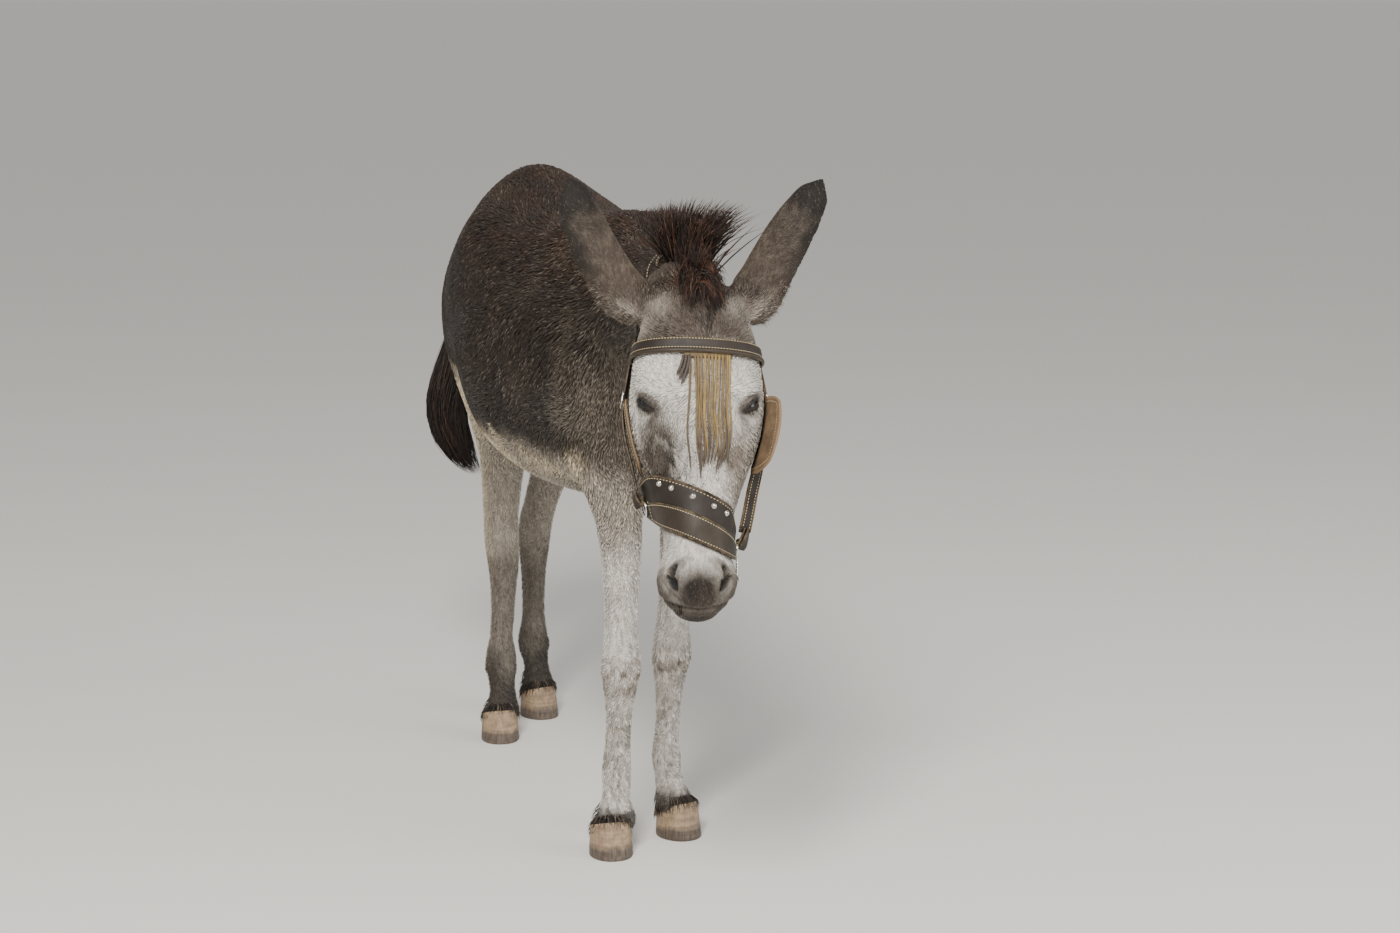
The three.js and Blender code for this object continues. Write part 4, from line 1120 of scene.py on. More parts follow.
def make_fetlock_hair(surface, count=420):
    """A fringe that falls over each hoof, and a lock at the back of each fetlock."""
    rng = np.random.default_rng(24)
    lines, spots = [], []
    for k, leg in enumerate(LEGS):
        swing = rng.uniform(0, math.tau, count)
        side, ahead = np.cos(swing), np.sin(swing)
        behind = smooth(-0.3, -0.9, ahead)
        over = rng.uniform(2, 15, count) + behind * rng.uniform(0, 46, count)
        top = HOOF["top"] + HOOF["slope"] * (48 * ahead - 46) + over
        root = hoof_places(leg, 27 * side, 30 * ahead - 8, top)
        root = surface.over(root, np.full(count, -0.002))
        long = rng.uniform(9, 27, count) + 12 * behind
        wall = np.where(ahead > 0, HOOF["toe"], HOOF["heel"])
        tip = hoof_places(
            leg,
            side * (HOOF["half"] + 1) + rng.normal(0, 1.5, count),
            ahead * (wall + 1 + 3 * behind) - 10 * (1 + ahead) * 0.5 + rng.normal(0, 1.5, count),
            in_body(root)[:, 2] - long,
        )
        control = root + (tip - root) * (0.62, 0.62, 0.25)
        lines.append(curve(root, control, tip, 5))
        spots.append(np.stack([swing + 7 * k, over], 1))
    line = np.concatenate(lines)
    radius = rng.uniform(0.7, 1.5, len(line)) * 1e-3
    colours = hair_colours(len(line), rng, ("2a2420", "463d35", "82766a"))
    return make_locks("fetlock_hair", line, radius, colours, spread(np.concatenate(spots)))


# ---------------------------------------------------------------- bridle
class Strap:
    """A strap that lies over the coat, in the head's millimetres. lay gives the places that it
    passes, for arrays of shares along it and across it, and the way inward from there."""

    def __init__(self, lay, lift=2.4, loose=None, taut=False, fine=(80, 8), twist=None):
        self.lay, self.lift, self.twist = lay, lift, twist
        self.loose = loose or (lambda along: 0 * along)
        along, across = np.meshgrid(np.linspace(0, 1, fine[0]), np.linspace(-0.5, 0.5, fine[1]), indexing="ij")
        high = OVER_SKIN.heights(*lay(along.ravel(), across.ravel())).reshape(fine)
        if taut:
            high = self.stretched(high)
        for _ in range(6):
            high[1:-1] = (high[:-2] + 2 * high[1:-1] + high[2:]) / 4
            high[:, 1:-1] = (high[:, :-2] + 2 * high[:, 1:-1] + high[:, 2:]) / 4
        self.high, self.fine = high, fine

    @staticmethod
    def stretched(high):
        """Pulls the strap straight over the hollows that it crosses."""
        out = high.copy()
        last = len(high) - 1
        for i in range(len(high)):
            for a in range(0, i):
                b = np.arange(i + 1, last + 1)
                if len(b):
                    bridge = high[a] + (high[b] - high[a]) * ((i - a) / (b - a))[:, None]
                    out[i] = np.maximum(out[i], bridge.max(0))
        return out

    def place(self, along, across, above):
        """Places at shares along and across the strap, and a height over its underside."""
        along, across, above = (np.asarray(a, float).ravel() for a in np.broadcast_arrays(along, across, above))
        flat = self.untwisted(along, across, above)
        if not self.twist:
            return flat
        middle = self.untwisted(along, 0 * across, 0 * above + 2)
        axis = unit(self.untwisted(along + 0.01, 0 * across, 0 * above) - self.untwisted(along - 0.01, 0 * across, 0 * above))
        off, angle = flat - middle, self.twist(along)[:, None]
        return (middle + off * np.cos(angle) + np.cross(axis, off) * np.sin(angle)
                + axis * (axis * off).sum(1)[:, None] * (1 - np.cos(angle)))

    def untwisted(self, along, across, above):
        i = np.clip(along, 0, 1) * (self.fine[0] - 1)
        j = (np.clip(across, -0.5, 0.5) + 0.5) * (self.fine[1] - 1)
        i0, j0 = np.minimum(i.astype(int), self.fine[0] - 2), np.minimum(j.astype(int), self.fine[1] - 2)
        f, g = i - i0, j - j0
        high = ((self.high[i0, j0] * (1 - f) + self.high[i0 + 1, j0] * f) * (1 - g)
                + (self.high[i0, j0 + 1] * (1 - f) + self.high[i0 + 1, j0 + 1] * f) * g)
        towards, inward = self.lay(along, across)
        return towards - inward * (high + self.lift + self.loose(along) + above)[:, None]

    def outward(self, along, across):
        step = 0.01
        a = self.place(along + step, across, 0) - self.place(along - step, across, 0)
        b = self.place(along, across + 0.08, 0) - self.place(along, across - 0.08, 0)
        out = unit(np.cross(a, b))
        _, inward = self.lay(np.atleast_1d(along), np.atleast_1d(across))
        return out * -np.sign((out * inward).sum(1))[:, None]


def tube(name, rings, wear=None):
    """A closed body through rings of places, in the head's millimetres."""
    count, corners, _ = rings.shape
    bm = bmesh.new()
    rows = [[bm.verts.new(place) for place in ring] for ring in from_head(rings.reshape(-1, 3)).reshape(rings.shape)]
    for a, b in zip(rows, rows[1:]):
        for k in range(corners):
            n = (k + 1) % corners
            bm.faces.new((a[k], a[n], b[n], b[k]))
    bm.faces.new(rows[0][::-1])
    bm.faces.new(rows[-1])
    bmesh.ops.recalc_face_normals(bm, faces=bm.faces)
    mesh = as_mesh(bm, name)
    layer = mesh.attributes.new("wear", "FLOAT", "POINT")
    layer.data.foreach_set("value", (np.zeros(count * corners) if wear is None else wear.ravel()).astype(np.float32))
    return mesh


def band(name, strap, thick, low=-0.5, high=0.5, start=0.0, stop=1.0, pieces=90, above=0.0, crown=0.0, fine=9):
    """A strap of leather with rounded edges. low and high are its edges across, as numbers or as
    functions of the share along it."""
    along = np.linspace(start, stop, pieces)
    edge = lambda e: e(along) if callable(e) else np.full(pieces, float(e))
    low, high = edge(low), edge(high)
    s = np.concatenate([np.linspace(-1, 1, fine), np.linspace(1, -1, fine)])
    top = np.repeat([1.0, 0.0], fine)
    s = s * (1 - 0.02 * (1 - top))
    rounding = np.clip((abs(s) - 0.86) / 0.14, 0, 1) ** 2
    rise = np.where(top > 0, thick * (1 - 0.55 * rounding) + crown * (1 - s * s), thick * 0.12 * rounding)
    across = low[:, None] + (high - low)[:, None] * (s + 1) / 2
    places = strap.place(along[:, None], across, above + rise[None]).reshape(pieces, 2 * fine, 3)
    wear = np.broadcast_to(rounding * top, (pieces, 2 * fine))
    return tube(name, places, wear)


def stitches(strap, across, above, start=0.02, stop=0.98, pitch=5.2, length=3.5, thick=0.65):
    """A row of stitches along a strap."""
    along = np.linspace(start, stop, 500)
    line = across(along) if callable(across) else np.full(500, float(across))
    path = strap.place(along, line, above)
    run = np.concatenate([[0], np.cumsum(np.linalg.norm(np.diff(path, axis=0), axis=1))])
    first = np.arange(pitch, run[-1] - pitch, pitch)
    ends = [np.stack([np.interp(at, run, path[:, k]) for k in range(3)], 1) for at in (first, first + length)]
    out = strap.outward(np.interp(first, run, along), np.interp(first, run, line))
    return ends[0], ends[1], out, thick


def thread(name, rows):
    """All the stitches of a piece, as one mesh of small rounded bars."""
    bars = []
    for a, b, out, thick in rows:
        across = unit(np.cross(unit(b - a), out))
        for share, size, sink in ((0.0, 0.35, 0.5), (0.18, 1, 0), (0.82, 1, 0), (1.0, 0.35, 0.5)):
            middle = a + (b - a) * share - out * sink * thick
            bars += [middle + (across * x + out * z) * thick * size
                     for x, z in ((-1, 0), (-0.5, 0.8), (0.5, 0.8), (1, 0))]
    count = sum(len(row[0]) for row in rows)
    grouped = []
    at = 0
    for row in rows:
        grouped.append(np.stack(bars[at:at + 16], 1))
        at += 16
    co = from_head(np.concatenate(grouped).reshape(-1, 3))
    k = np.arange(4)
    quads = [(r * 4 + i, r * 4 + i + 1, r * 4 + i + 5, r * 4 + i + 4) for r in range(3) for i in range(3)]
    quads += [(0, 1, 2, 3), (15, 14, 13, 12)]
    faces = (np.arange(count)[:, None, None] * 16 + np.array(quads)).reshape(-1, 4)
    mesh = bpy.data.meshes.new(name)
    mesh.from_pydata(co.tolist(), [], faces.tolist())
    return mesh


def girth(centre, tilt, lean, start, stop, width, ends=None):
    """Lays a strap round the head. Its ring tilts about the face's own forward line."""
    turn = np.array(Euler((math.radians(lean), math.radians(tilt), 0), "ZYX").to_matrix())
    ends = ends or width

    def lay(along, across):
        angle = np.radians(start + (stop - start) * along)
        inward = np.stack([-np.sin(angle), np.cos(angle), 0 * angle], 1) @ turn.T
        wide = ends + (width - ends) * np.sin(np.pi * np.clip(along, 0, 1)) ** 0.8
        towards = np.stack([0 * along, 0 * along, across * wide], 1) @ turn.T + np.array(centre)
        return towards, inward
    return lay


def down_side(hand, path, width):
    """Lays a strap down one side of the head, through places listed as (back, up)."""
    def lay(along, across):
        back, up = along_path(path, along).T
        after, before = along_path(path, along + 0.02), along_path(path, along - 0.02)
        run = after - before
        shift = across * width * hand / np.linalg.norm(run, axis=1)
        towards = np.stack([0 * back, back - shift * run[:, 1], up + shift * run[:, 0]], 1)
        return towards, np.tile((-float(hand), 0.0, 0.0), (len(back), 1))
    return lay


BROW = {"centre": (0, 86, -137), "tilt": 1.5, "lean": 2}
NOSEBAND = {"centre": (0, 84, -424), "tilt": 24, "lean": 4}
CROWN = {"centre": (0, 150, -104), "tilt": 0, "lean": -90}


def endwards(along):
    return np.abs(2 * along - 1) ** 4


def cheek_path(end):
    return [(136, -92), (126, -140), (116, -200), (108, -260), (101, (-260 + end) / 2), (94, end)]


def add_browband():
    strap = Strap(girth(**BROW, start=-100, stop=100, width=27), lift=2.6, fine=(90, 8))
    low, high = -0.5, 0.5
    piece("browband", band("browband", strap, 3.4, low + 0.16, high, crown=0.8), "brown_leather",
          "browband", materials=(LEATHER,))
    roll = band("browband_roll", strap, 5.6, low, low + 0.27, crown=0.8, fine=7)
    piece("browband_roll", roll, "brown_leather", materials=(WORN_LEATHER,))
    rows = [stitches(strap, 0.40, 4.0), stitches(strap, -0.17, 4.2)]
    piece("browband_thread", thread("browband_thread", rows), "tan_leather", materials=(THREAD,))


def noseband_top(along):
    """The upper edge of the noseband, which rises in a shield over the nose."""
    return 0.5 - 0.10 * smooth(0.30, 0.0, along) - 0.13 * smooth(0.66, 0.80, along) - 0.10 * smooth(0.80, 1, along)


def add_noseband():
    strap = Strap(
        girth(**NOSEBAND, start=-112, stop=112, width=86, ends=46), lift=2.4, fine=(110, 14),
        loose=lambda along: np.where(along < 0.5, 22, 9) * endwards(along),
    )
    body = band("noseband", strap, 3.2, -0.5, noseband_top, pieces=120, fine=15)
    piece("noseband", body, "brown_leather", "noseband", materials=(LEATHER,))
    back_top = lambda along: -0.04 + 0.06 * np.cos(5 * (along - 0.5))
    backing = band("noseband_backing", strap, 3.0, -0.49, back_top, 0.10, 0.93, 110, above=3.1, crown=0.5, fine=11)
    piece("noseband_backing", backing, "brown_leather", materials=(WORN_LEATHER,))
    rows = [
        stitches(strap, lambda a: back_top(a) - 0.06, 6.5, 0.12, 0.915),
        stitches(strap, -0.43, 6.2, 0.12, 0.915),
        stitches(strap, lambda a: noseband_top(a) - 0.07, 3.4, 0.05, 0.96, pitch=6.4),
    ]
    for at in (0.118, 0.918):
        rows.append(cross_stitches(strap, at, -0.42, -0.06, 6.3))
    piece("noseband_thread", thread("noseband_thread", rows), "tan_leather", materials=(THREAD,))
    add_studs(strap)
    add_rings(strap)
    return strap


def cross_stitches(strap, at, low, high, above, count=6):
    """A short row of stitches across a strap."""
    share = np.linspace(low, high, count)
    half = (high - low) / count * 0.33
    a = strap.place(np.full(count, at), share - half, above)
    b = strap.place(np.full(count, at), share + half, above)
    return a, b, strap.outward(np.full(count, at), share), 0.65


def noseband_share(angle, above):
    """Shares along and across the noseband for an angle from its front and a height over its middle."""
    along = (angle + 112) / 224
    wide = 46 + 40 * math.sin(math.pi * along) ** 0.8
    return along, above / wide


def standing(strap, along, across, lift):
    """A matrix that stands +Z on a strap, in the head's millimetres."""
    one = np.ones(1)
    place = Vector(strap.place(along * one, across * one, lift)[0])
    out = Vector(strap.outward(along * one, across * one)[0])
    return Matrix.Translation(place) @ out.to_track_quat("Z", "Y").to_matrix().to_4x4()


def turned(profile, segments=24):
    """A smooth round body from (radius, height) rows."""
    bm = bmesh.new()
    verts = [bm.verts.new((r, 0, z)) for r, z in profile]
    edges = [bm.edges.new(pair) for pair in zip(verts, verts[1:])]
    bmesh.ops.spin(bm, geom=verts + edges, axis=(0, 0, 1), cent=(0, 0, 0), angle=math.tau, steps=segments,
                   use_merge=True)
    bmesh.ops.remove_doubles(bm, verts=bm.verts, dist=1e-4)
    bmesh.ops.recalc_face_normals(bm, faces=bm.faces)
    return bm


def add_studs(strap):
    dome = [(0.001, 4.6), (1.5, 4.4), (2.9, 3.7), (3.9, 2.6), (4.4, 1.3), (5.0, 0.9), (5.3, 0.5), (5.2, 0), (0.001, 0)]
    for k, angle in enumerate((-56, -41, -15.5, 10, 30)):
        along, across = noseband_share(angle, 26)
        bm = turned(dome)
        bm.transform(HEAD @ standing(strap, along, min(across, noseband_top(np.array([along]))[0] - 0.1), 3.0))
        name = f"noseband_stud_{k + 1}"
        piece(f"stud_{k + 1}", bm, "nickel", name, materials=(NICKEL,))


def ring_mesh(radius, thick, segments=40, sides=12):
    bm = bmesh.new()
    rows = []
    for i in range(segments):
        a = math.tau * i / segments
        rows.append([
            bm.verts.new((math.cos(a) * (radius + thick * math.cos(b)), math.sin(a) * (radius + thick * math.cos(b)),
                          thick * math.sin(b)))
            for b in (math.tau * j / sides for j in range(sides))
        ])
    for i in range(segments):
        for j in range(sides):
            a, b, n = rows[i], rows[(i + 1) % segments], (j + 1) % sides
            bm.faces.new((a[j], b[j], b[n], a[n]))
    return bm


def add_rings(strap):
    for side, hand in SIDES.items():
        along, across = noseband_share(104 * hand, -12)
        bm = ring_mesh(13, 2)
        bm.transform(HEAD @ standing(strap, along, across, 7.4))
        bmesh.ops.recalc_face_normals(bm, faces=bm.faces)
        piece(f"ring_{side}", bm, "nickel", f"noseband_ring_{side}", materials=(NICKEL,))


def add_chin_strap():
    strap = Strap(
        girth(**NOSEBAND, start=117, stop=243, width=22), lift=3.6, fine=(70, 6),
        loose=lambda along: 10 * endwards(along),
    )
    piece("chin_strap", band("chin_strap", strap, 3.8, pieces=70, crown=0.4), "brown_leather",
          "chin_strap", materials=(LEATHER,))
    rows = [stitches(strap, 0.36, 3.9), stitches(strap, -0.36, 3.9)]
    piece("chin_strap_thread", thread("chin_strap_thread", rows), "tan_leather", materials=(THREAD,))


def add_crownpiece():
    strap = Strap(girth(**CROWN, start=-80, stop=80, width=24), lift=3.6, fine=(80, 6))
    piece("crownpiece", band("crownpiece", strap, 3.8, pieces=80, crown=0.4), "brown_leather",
          "crownpiece", materials=(LEATHER,))
    rows = [stitches(strap, 0.36, 3.9), stitches(strap, -0.36, 3.9)]
    piece("crownpiece_thread", thread("crownpiece_thread", rows), "tan_leather", materials=(THREAD,))


TWIST = {"left": 0.95, "right": 0.0}


def add_cheekpiece(side, end):
    hand = SIDES[side]
    strap = Strap(
        down_side(hand, cheek_path(end), 24), lift=8.4, taut=True, fine=(60, 6),
        loose=lambda along: 14 * along**4,
        twist=lambda along: hand * TWIST[side] * smooth(0.35, 0.85, along),
    )
    name = f"cheekpiece_{side}"
    piece(name, band(name, strap, 3.8, pieces=80, crown=0.4), "brown_leather", name, materials=(LEATHER,))
    edges = [band(f"{name}_edge", strap, 4.3, low, high, 0.02, 0.98, 70, crown=0.3, fine=5)
             for low, high in ((-0.53, -0.43), (0.43, 0.53))]
    bm = bmesh.new()
    for edge in edges:
        bm.from_mesh(edge)
        bpy.data.meshes.remove(edge)
    piece(f"{name}_edges", bm, "tan_leather", materials=(TAN if side == "left" else LEATHER,))
    rows = [stitches(strap, 0.30, 4.0), stitches(strap, -0.30, 4.0)]
    piece(f"{name}_thread", thread(f"{name}_thread", rows), "tan_leather", materials=(THREAD,))
    add_buckle(side, strap, 0.42)
    return strap


def add_buckle(side, strap, at):
    """A square wire buckle with its tongue, and a keeper below it."""
    wire = bmesh.new()
    half, rise = 0.66, 6.0
    corners = [(at - 0.035, -half), (at - 0.035, half), (at + 0.035, half), (at + 0.035, -half)]
    add_wire(wire, strap, corners, rise, closed=True)
    add_wire(wire, strap, [(at - 0.035, 0.0), (at + 0.045, 0.0)], rise + 0.6)
    piece(f"buckle_{side}", wire, "nickel", materials=(NICKEL,))
    keeper = Strap(strap.lay, strap.lift, strap.loose, fine=(20, 6), twist=strap.twist)
    keeper.high, keeper.fine = strap.high, strap.fine
    loop = band(f"keeper_{side}", keeper, 2.6, -0.58, 0.58, at + 0.085, at + 0.115, 8, above=3.4, crown=1.0)
    piece(f"keeper_{side}", loop, "brown_leather", materials=(WORN_LEATHER,))


def add_wire(bm, strap, shares, rise, closed=False, thick=1.5):
    """A bent round wire that lies over a strap."""
    points = []
    pairs = list(zip(shares, shares[1:] + shares[:1])) if closed else list(zip(shares, shares[1:]))
    for (a0, c0), (a1, c1) in pairs:
        for f in np.linspace(0, 1, 10)[:-1 if closed else None]:
            at = strap.lay(np.array([a0 + (a1 - a0) * f]), np.array([0.0]))
            middle = strap.place(np.array([a0 + (a1 - a0) * f]), np.array([0.0]), rise)[0]
            c = c0 + (c1 - c0) * f
            along = strap.place(np.array([a0 + 0.02]), np.array([0.0]), 0)[0] - strap.place(np.array([a0 - 0.02]), np.array([0.0]), 0)[0]
            sideways = np.cross(unit(along), -at[1][0])
            points.append(middle + sideways * c * 24)
    points = np.array(points)
    if closed:
        after, before = np.roll(points, -1, 0), np.roll(points, 1, 0)
        points = (after + 2 * points + before) / 4
        after, before = np.roll(points, -1, 0), np.roll(points, 1, 0)
    else:
        after, before = np.vstack([points[1:], points[-1:]]), np.vstack([points[:1], points[:-1]])
    way = unit(after - before)
    side = unit(np.cross(way, np.array((0.2, 0.3, 0.93))))
    up = np.cross(way, side)
    rows = []
    for middle, x, y in zip(points, side, up):
        rows.append([
            bm.verts.new(from_head(middle + (x * math.cos(b) + y * math.sin(b)) * thick))
            for b in (math.tau * j / 8 for j in range(8))
        ])
    for a, b in zip(rows, rows[1:] + rows[:1] if closed else rows[1:]):
        for j in range(8):
            n = (j + 1) % 8
            bm.faces.new((a[j], a[n], b[n], b[j]))
    if not closed:
        bm.faces.new(rows[0][::-1])
        bm.faces.new(rows[-1])


# The blinkers are rounded plates. The left one stands off the cheek. The right one lies flat, farther
# back.
BLINKER = {"wide": 96, "tall": 134, "thick": 4, "corner": 0.42, "up": -276}


def half_width_at(hand, back, up):
    towards = np.stack([0 * back, back, up], 1)
    return OVER_SKIN.heights(towards, np.tile((-float(hand), 0.0, 0.0), (len(back), 1)))


def blinker_out(hand, middle, flare, back, up):
    """How far out the inner face of a blinker lies."""
    ends = half_width_at(hand, np.array([112.0, 96.0]), np.array([-200.0, -400.0]))
    rear = ends[0] + (ends[1] + 10 - ends[0]) * (up + 200) / -200
    ahead = (middle + BLINKER["wide"] / 2 - back) / BLINKER["wide"]
    stands = rear + flare * np.maximum(ahead - 0.28, 0) ** 1.2
    return np.maximum(stands, half_width_at(hand, back, up)) + 4


def add_blinker(side, middle, flare):
    hand, n = SIDES[side], 29
    v, w = np.meshgrid(np.linspace(-1, 1, n), np.linspace(-1, 1, n), indexing="ij")
    v, w = v.ravel(), w.ravel()
    back = middle + v * np.sqrt(1 - BLINKER["corner"] * w * w) * BLINKER["wide"] / 2
    up = BLINKER["up"] + w * np.sqrt(1 - BLINKER["corner"] * v * v) * BLINKER["tall"] / 2
    out = blinker_out(hand, middle, flare, back, up)
    grid = out.reshape(n, n)
    for _ in range(3):
        grid[1:-1] = (grid[:-2] + 2 * grid[1:-1] + grid[2:]) / 4
        grid[:, 1:-1] = (grid[:, :-2] + 2 * grid[:, 1:-1] + grid[:, 2:]) / 4
    out = grid.ravel()
    rim = np.maximum(abs(v), abs(w))
    swell = -0.9 * smooth(0.90, 1.0, rim) + 0.5 * np.exp(-(((rim - 0.86) / 0.05) ** 2))
    bm = bmesh.new()
    sheets = []
    for layer, lift in ((0, -swell), (1, swell)):
        x = hand * (out + layer * BLINKER["thick"] + lift)
        places = from_head(np.stack([x, back, up], 1))
        sheets.append([bm.verts.new(place) for place in places])
    inner, outer = sheets
    for i in range(n - 1):
        for j in range(n - 1):
            k = i * n + j
            for sheet, flip in ((inner, 1), (outer, -1)):
                bm.faces.new([sheet[q] for q in (k, k + 1, k + n + 1, k + n)][::flip])
    border = [i * n for i in range(n)] + [(n - 1) * n + j for j in range(1, n)]
    border += [i * n + n - 1 for i in range(n - 2, -1, -1)] + [j for j in range(n - 2, 0, -1)]
    for a, b in zip(border, border[1:] + border[:1]):
        bm.faces.new((inner[a], inner[b], outer[b], outer[a]))
    bmesh.ops.recalc_face_normals(bm, faces=bm.faces)
    mesh = as_mesh(bm, f"blinker_{side}")
    layer = mesh.attributes.new("wear", "FLOAT", "POINT")
    layer.data.foreach_set("value", np.tile(smooth(0.9, 1.0, rim), 2).astype(np.float32))
    inside = mesh.attributes.new("inside", "FLOAT", "POINT")
    inside.data.foreach_set("value", np.repeat([1.0, 0.0], n * n).astype(np.float32))
    piece(f"blinker_{side}", mesh, "tan_leather", f"blinker_{side}", materials=(SUEDE,))
    edge_stitches(side, hand, back, up, out, n)


def edge_stitches(side, hand, back, up, out, n):
    """Thread round the blinker, a little in from its edge, on both faces."""
    m = 2
    grid = lambda a: a.reshape(n, n)[m:n - m, m:n - m]
    rows = []
    for lift, facing in ((-0.8, -1), (BLINKER["thick"] + 0.8, 1)):
        places = np.stack([hand * (grid(out) + lift), grid(back), grid(up)], -1)
        loop = np.concatenate([places[:, 0], places[-1, 1:], places[-2::-1, -1], places[0, -2::-1]])
        run = np.concatenate([[0], np.cumsum(np.linalg.norm(np.diff(loop, axis=0), axis=1))])
        first = np.arange(0, run[-1] - 5, 5.4)
        a, b = (np.stack([np.interp(at, run, loop[:, k]) for k in range(3)], 1) for at in (first, first + 3.5))
        rows.append((a, b, np.tile((hand * facing, 0.0, 0.0), (len(a), 1)), 0.65))
    piece(f"blinker_{side}_thread", thread(f"blinker_{side}_thread", rows), "tan_leather", materials=(THREAD,))


# A fringe hangs from under the browband over the middle of the face.
FRINGE = {"from": -16, "to": 50, "thongs": 21, "top": -156, "drop": 214, "wide": 3.5}


def add_fringe():
    rng = np.random.default_rng(31)
    meshes = [header_mesh()]
    colours = [np.tile(tint("5c4a2e"), (len(meshes[0].vertices), 1))]
    for k in range(FRINGE["thongs"]):
        share = k / (FRINGE["thongs"] - 1)
        loose = k < 3
        x = FRINGE["from"] + (FRINGE["to"] - FRINGE["from"]) * (0.14 * k if loose else 0.28 + 0.92 * (share - 0.21))
        dark = 0.75 if loose else rng.random() ** (1 + 2.5 * share)
        drop = FRINGE["drop"] * (1 - 0.10 * share - 0.12 * rng.random() + (0.02 if k in (0, 1) else 0))
        meshes.append(thong_mesh(x, drop, rng))
        colours.append(thong_colours(len(meshes[-1].vertices), dark, rng))
    for k, x in enumerate((-27, -22, -17)):
        meshes.append(curled_thong(x, 34 + 9 * k, rng))
        colours.append(np.tile(tint("3a3029"), (len(meshes[-1].vertices), 1)))
    bm = bmesh.new()
    for mesh in meshes:
        bm.from_mesh(mesh)
        bpy.data.meshes.remove(mesh)
    mesh = as_mesh(bm, "fly_fringe")
    paint(mesh, np.concatenate(colours))
    piece("fly_fringe", mesh, "tan_leather", "fly_fringe", materials=(FRINGE_LEATHER,))


def face_places(x, z, above):
    """Places over the face, for arrays across it and up it."""
    towards = np.stack([x, np.full(len(x), 84.0), z], 1)
    inward = np.tile((0.0, 1.0, 0.0), (len(x), 1))
    high = OVER_SKIN.heights(towards, inward)
    for _ in range(8):
        high[1:-1] = (high[:-2] + 2 * high[1:-1] + high[2:]) / 4
    return towards - inward * (high + above)[:, None]


def round_strip(name, middle, wide, thick):
    """A thong: a strip with a rounded section along a line of places."""
    along = unit(np.gradient(middle, axis=0))
    out = np.array((0.0, -1.0, 0.0))
    across = unit(np.cross(along, out))
    swing = np.linspace(0, math.tau, 9)[:-1]
    rings = (middle[:, None] + across[:, None] * (np.cos(swing)[None, :, None] * wide[:, None, None] / 2)
             + out * (np.sin(swing)[None, :, None] * thick / 2))
    return tube(name, rings)


def thong_mesh(x, drop, rng):
    t = np.linspace(0, 1, 46)
    wave = (1.5 * np.sin(t * rng.uniform(8, 12) + rng.uniform(0, 6)) + 4.2 * np.sin(9 * t + 0.03 * x)) * t**1.3
    drift = rng.normal(0, 2.0) * t + 1.2 * np.sin(3 * t + x)
    line = face_places(x + wave + drift, FRINGE["top"] - t * drop, 3.4 + 2.2 * abs(np.sin(t * 9 + x)) * t)
    wide = FRINGE["wide"] * (1 - 0.35 * t) * rng.uniform(0.85, 1.1)
    return round_strip("thong", line, wide * smooth(1.02, 0.93, t) + 0.4, 2.2)


def thong_colours(count, dark, rng):
    t = np.repeat(np.linspace(0, 1, count // 8), 8)[:, None]
    ochre, brown, black = tint("8c7238") * rng.uniform(0.6, 1.2), tint("55442f"), tint("2b231e")
    colour = ochre + (brown - ochre) * dark
    return colour + (black - colour) * smooth(0.55, 1.0, t + 0.1 * rng.normal()) * 0.85


def curled_thong(x, drop, rng):
    t = np.linspace(0, 1, 24)
    line = face_places(x - (40 - x * -0.6) * 0.5 * t**1.7, FRINGE["top"] - 2 - drop * t, 4 + 7 * t * (1 - t))
    return round_strip("thong", line, 4.2 * smooth(1.02, 0.8, t) + 0.4, 2.2)


def header_mesh():
    t = np.linspace(0, 1, 24)
    x = FRINGE["from"] - 10 + (FRINGE["to"] - FRINGE["from"] + 15) * t
    line = face_places(x, np.full(24, FRINGE["top"] - 1.0), 3)
    up = np.array((0.0, 0.0, 1.0))
    swing = np.linspace(0, math.tau, 9)[:-1]
    rings = (line[:, None] + up * (np.cos(swing)[None, :, None] * 4.5)
             + np.array((0.0, -1.0, 0.0)) * (np.sin(swing)[None, :, None] * 1.4))
    return tube("header", rings)


def add_billet(side, cheek, strap):
    """The end of a cheekpiece, which runs on to the ring and is folded back through it."""
    hand = SIDES[side]
    along, across = noseband_share(104 * hand, -12)
    ring = strap.place(np.array([along]), np.array([across]), 8)[0]
    start = cheek.place(np.array([0.97]), np.array([0.0]), 1.9)[0]
    before = cheek.place(np.array([0.90]), np.array([0.0]), 1.9)[0]
    top = ring + (4 * hand, 2, 12)
    for name, outward, drop in (("billet", 0.0, 0.0), ("billet_back", 6.0, 10.0)):
        ends = np.stack([start + (outward * hand, 0, 0), top + (outward * hand * 0.4, 0, -drop)])
        bend = (start + top) / 2 + (start - before) * 0.6 + (outward * hand * 1.4, 0, 0)
        t = np.linspace(0, 1, 26)[:, None]
        line = (1 - t) ** 2 * ends[0] + 2 * t * (1 - t) * bend + t * t * ends[1]
        wide = 20 - 3 * smooth(0.75, 1.0, t[:, 0])
        flat = flat_strip(f"{name}_{side}", line, wide, 3.6, hand)
        piece(f"{name}_{side}", flat, "brown_leather", materials=(LEATHER if outward else WORN_LEATHER,))


